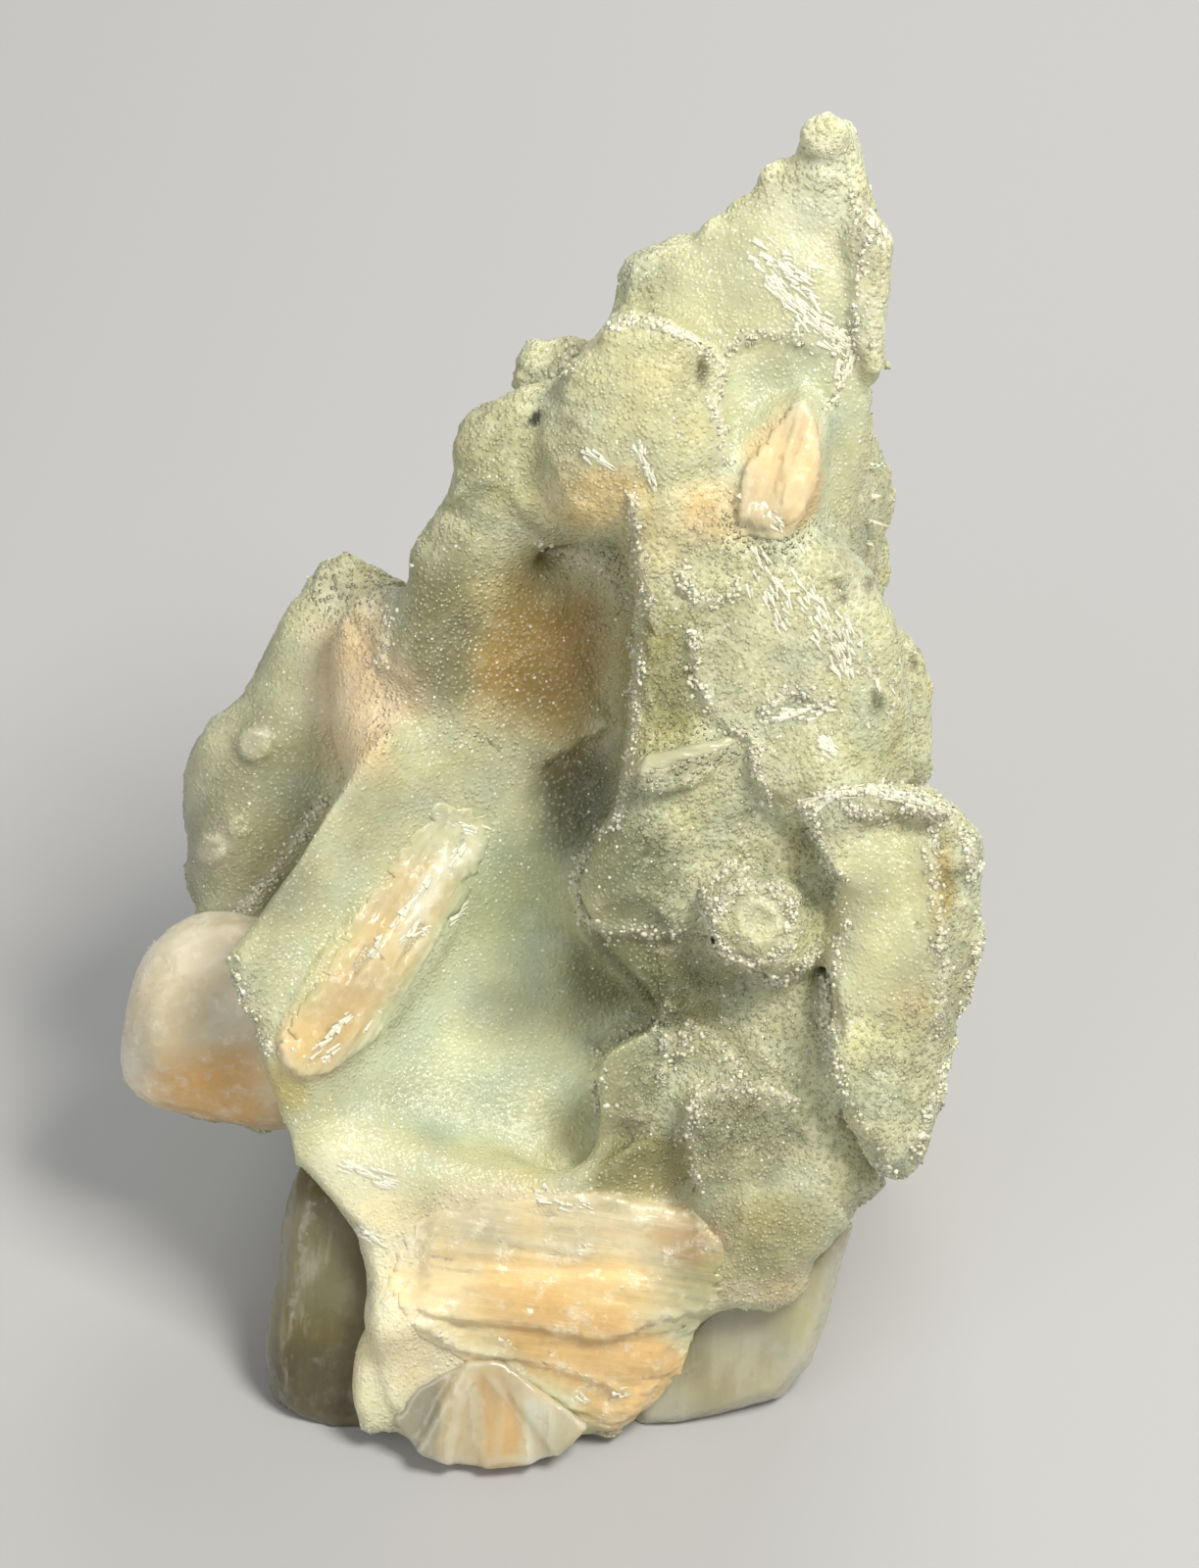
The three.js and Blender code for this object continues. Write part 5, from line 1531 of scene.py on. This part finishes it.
# Seams are looked for this far round an outline, and this far over and under the mean face, in mm.
SEAM_MARGIN = 1.6
SEAM_DEPTH = 14


def seams(places):
    """1 along the outlines of the flush crystals, falling to 0 beside them."""
    seam = np.zeros(len(places))
    for _, _, outline, *_ in SKINS.values():
        low = (*(np.min(outline, axis=0) - SEAM_MARGIN), -SEAM_DEPTH)
        high = (*(np.max(outline, axis=0) + SEAM_MARGIN), SEAM_DEPTH)
        near = ((places > low) & (places < high)).all(1)
        reach, _ = ledge_reach(places[near], [*outline, outline[0]])
        seam[near] = np.maximum(seam[near], 1 - ramp(np.abs(reach), *SEAM))
    return seam


def skin_share(places, name):
    """How much of a flush crystal shows at each place on the sheet."""
    _, _, outline, soft, *_ = SKINS[name]
    return outline_share(places, outline, soft)


class SPECIMEN_OT_skins(bpy.types.Operator):
    """Make the crystals that the crust holds flush"""
    bl_idname = "specimen.skins"
    bl_label = "Flush Crystals"

    def execute(self, context):
        druse = context.scene.specimen_druse
        props = context.scene.specimen_crystal
        crust = bpy.data.objects["green_crust"].data
        places = seen_places(vertex_data(crust, "co"))
        seen = facing_share(crust, -0.7, -0.3) * ramp(places[:, 2], *SKIN_DEPTH)
        for name, (node, slot, _, _, turn, rib, frost) in SKINS.items():
            mesh = skin_of(crust, skin_share(places, name) * seen, props.skin_lift, props.skin)
            if not rib:
                mesh.shade_smooth()
                new_piece(name, mesh, druse_paint(druse, name), [node])
                continue
            along = sheet_turn(turn)
            share = ramp(skin_share(seen_places(vertex_data(mesh, "co")), name), SKIN_END, 1.0)
            ribbed(mesh, along, WIDE_RIB, RIB_LENGTH, rib * MM * share)
            ribbed(mesh, along, FINE_RIB, RIB_LENGTH, 0.4 * rib * MM * share)
            mesh.shade_smooth()
            material = crystal_paint(name, along, tuple(props.cream), SKIN_DARK, props.glow, frost)
            new_piece(name, mesh, material, [node])
        return {"FINISHED"}


# Bright lines between the wedges of the fan, seen on the sheet.
FAN_LINES = [
    ("first", 0.1, 0.6, 0.9, ((-7.5, -30.2), (-8.0, -35.0))),
    ("second", 0.1, 0.6, 0.9, ((-6.9, -30.2), (-6.3, -35.0))),
    ("third", 0.1, 0.6, 1.0, ((-6.1, -29.9), (-3.9, -32.6), (-3.8, -35.0))),
    ("fourth", 0.1, 0.6, 1.0, ((-2.8, -31.6), (-2.5, -34.8))),
    ("facet", 0.1, 0.6, 1.0, ((-2.8, -31.6), (-1.4, -32.2), (-0.9, -33.2), (-2.0, -34.6))),
    ("foot", 0.0, 0.5, 1.0, ((-9.0, -34.7), (-3.3, -34.8), (-1.8, -34.3))),
]
# Patches on the fan: one for each wedge, from the left.
FAN_TINTS = [
    ((-9.5, -32.4), (2.0, 3.6), 0, 3.0, (0.50, 0.48, 0.34), 0.9),
    ((-7.2, -32.8), (0.8, 3.0), 3, 3.0, (0.84, 0.70, 0.46), 0.9),
    ((-5.2, -32.6), (1.2, 3.2), 8, 3.0, (0.84, 0.56, 0.27), 0.9),
    ((-3.2, -33.4), (0.7, 2.4), 4, 3.0, (0.96, 0.88, 0.66), 0.9),
    ((-1.9, -33.4), (0.8, 1.8), 8, 3.0, (0.80, 0.72, 0.48), 0.9),
]
# The fan shows inside a circle on the sheet. Outside it the fan is sunk. All in mm.
FAN_MIDDLE = (-5.6, -34.8)
FAN_REACH = 5.2
FAN_EDGE = 0.5
FAN_SINK = 1.6


def sink_round_fan(mesh):
    """Sinks what lies outside the fan's circle into the crust."""
    points = vertex_data(mesh, "co")
    away = np.hypot(*(seen_places(points)[:, :2] - FAN_MIDDLE).T) + 0.3 * wave(points, 0.001, 17)
    move_to(mesh, raised(points, -FAN_SINK * ramp(away, FAN_REACH, FAN_REACH + FAN_EDGE)))


# Clear crystals: node, slot, detail in metres, rounds of wear, direction of its ribs, how clear it is,
# how bright its edges are, and its tint.
CLEAR = {
    "glassy_fan": ("base_fan", "clear_crystal", 0.00013, 40, -92, 0.3, 0.6, (0.94, 0.74, 0.44)),
    "glassy_block": ("clear_block", "clear_crystal", 0.0002, 8, 88, 0.4, 0.5, (0.76, 0.72, 0.50)),
    # The cloudy block's dark tint is partly its own brown-green and partly painted shadow of the cluster
    # over it.
    "cloudy_block": ("grey_block", "grey_crystal", 0.0003, 16, 84, 0.2, 0.1, (0.19, 0.16, 0.065)),
}
CLEAR_TINTS = [
    ((7.5, -29.2), (0.6, 2.6), -4, 1.6, (0.88, 0.84, 0.62), 0.6),  # clear block, bright line
    ((4.0, -28.8), (2.4, 2.4), 0, 1.6, (0.52, 0.46, 0.27), 0.7),  # clear block, left part
    ((10.4, -27.6), (1.4, 2.6), -20, 1.6, (0.70, 0.70, 0.46), 0.7),  # clear block, right edge
    ((-15.2, -31.0), (4.4, 3.4), 0, 1.6, (0.12, 0.10, 0.05), 0.8),  # grey block, foot: darker as painted shadow of the cluster above it
    ((-14.6, -24.0), (2.6, 4.4), 20, 1.6, (0.30, 0.28, 0.16), 0.7),  # grey block, top
]
# The clear crystals' edge colour, and their dark colour between the fibres and for the painted shade at the
# fan's lines.
CLEAR_EDGE, CLEAR_DARK = (0.97, 0.95, 0.80), (0.40, 0.30, 0.14)
CLEAR_RIB = 0.00003


class SPECIMEN_OT_clear(bpy.types.Operator):
    """Make the clear crystals"""
    bl_idname = "specimen.clear"
    bl_label = "Clear Crystals"

    def execute(self, context):
        props = context.scene.specimen_crystal
        for name, (node, slot, detail, wear, turn, clear, edge, tint) in CLEAR.items():
            along = sheet_turn(turn)
            mesh = worn_crystal(node, props.grow * 0.6, detail, wear)
            ribbed(mesh, along, WIDE_RIB, RIB_LENGTH, CLEAR_RIB)
            lines, tints = (), CLEAR_TINTS
            if name == "glassy_fan":
                lines, tints = FAN_LINES, FAN_TINTS
                sink_round_fan(mesh)
            finish_crystal(mesh, tint, tints, lines, edge)
            material = crystal_paint(
                name, along, CLEAR_EDGE, CLEAR_DARK, glow=0.003, frost=0.8 * edge, fibre=0.0009, inputs={
                    "Transmission Weight": clear,
                    "Roughness": 0.2,
                    "Coat Weight": 0.6,
                    "Coat Roughness": 0.06,
                    "Subsurface Radius": (1.0, 0.9, 0.7),
                })
            new_piece(name, mesh, material, [node])
        return {"FINISHED"}


# The stage


# Lights: place and size in metres, the setting that holds the power, and colour. All aim at one point.
LIGHTS = {
    "key": ((0.13, -0.08, 0.29), 0.10, "key", (1.0, 0.97, 0.90)),
    "fill": ((-0.24, -0.26, 0.22), 0.30, "fill", (1.0, 1.0, 1.0)),
    "rim": ((0.05, 0.26, 0.20), 0.16, "fill", (1.0, 1.0, 1.0)),
}
LIGHT_AIM = Vector((0.0, 0.0, 0.028))
# Half the floor's width in metres.
FLOOR_SIZE = 1.0


def area_light(name, place, size, power, shade):
    data = bpy.data.lights.new(name, "AREA")
    data.size = size
    data.energy = power
    data.color = shade
    light = bpy.data.objects.new(name, data)
    light.location = place
    light.rotation_euler = (LIGHT_AIM - Vector(place)).to_track_quat("-Z", "Y").to_euler()
    bpy.context.scene.collection.objects.link(light)


class SPECIMEN_OT_stage(bpy.types.Operator):
    """Set the floor, the lights and the camera"""
    bl_idname = "specimen.stage"
    bl_label = "Stage"

    def execute(self, context):
        props = context.scene.specimen_stage
        bm = bmesh.new()
        bmesh.ops.create_grid(bm, x_segments=1, y_segments=1, size=FLOOR_SIZE)
        paint = Paint("pale floor")
        material = paint.surface({"Base Color": (*props.floor, 1.0), "Roughness": 0.9})
        floor = bpy.data.objects.new("floor", mesh_of(bm, "floor"))
        floor.data.materials.append(material)
        context.scene.collection.objects.link(floor)
        for name, (place, size, power, shade) in LIGHTS.items():
            area_light(name, place, size, getattr(props, power), shade)
        world = bpy.data.worlds.new("sky")
        world.use_nodes = True
        sky = Nodes(world.node_tree)
        light = sky.add("ShaderNodeBackground", None, {"Color": (1, 1, 1, 1), "Strength": props.sky})
        sky.add("ShaderNodeOutputWorld", None, {"Surface": light})
        context.scene.world = world
        context.scene.view_settings.view_transform = "Standard"
        data = bpy.data.cameras.new("camera")
        data.lens = CAMERA_LENS_MM
        data.clip_start = NEAREST_SEEN
        camera = bpy.data.objects.new("camera", data)
        camera.location = SHEET_ORIGIN + FACING * CAMERA_DISTANCE
        camera.rotation_euler = (SHEET_LEAN, 0, 0)
        context.scene.collection.objects.link(camera)
        context.scene.camera = camera
        return {"FINISHED"}


class SPECIMEN_PT_panel(bpy.types.Panel):
    """Lists the steps and the sizes"""
    bl_idname = "SPECIMEN_PT_panel"
    bl_label = "Specimen"
    bl_space_type = "VIEW_3D"
    bl_region_type = "UI"
    bl_category = "Specimen"

    def draw(self, context):
        for step in STEPS:
            self.layout.operator(step.bl_idname)
        for name, kind in SETTINGS.items():
            props = getattr(context.scene, name)
            box = self.layout.box()
            for key in kind.__annotations__:
                box.prop(props, key)


SETTINGS = {
    "specimen_druse": DruseProps,
    "specimen_crystal": CrystalProps,
    "specimen_stage": StageProps,
}
STEPS = (
    SPECIMEN_OT_matrix,
    SPECIMEN_OT_grains,
    SPECIMEN_OT_tooth,
    SPECIMEN_OT_skins,
    SPECIMEN_OT_clear,
    SPECIMEN_OT_beads,
    SPECIMEN_OT_frost,
    SPECIMEN_OT_stage,
)


def register():
    for kind in (*SETTINGS.values(), *STEPS, SPECIMEN_PT_panel):
        bpy.utils.register_class(kind)
    for name, kind in SETTINGS.items():
        setattr(bpy.types.Scene, name, PointerProperty(type=kind))


def unregister():
    for name in SETTINGS:
        delattr(bpy.types.Scene, name)
    for kind in reversed((*SETTINGS.values(), *STEPS, SPECIMEN_PT_panel)):
        bpy.utils.unregister_class(kind)


def main():
    register()
    for step in STEPS:
        area, name = step.bl_idname.split(".")
        getattr(getattr(bpy.ops, area), name)()


if __name__ == "__main__":
    main()
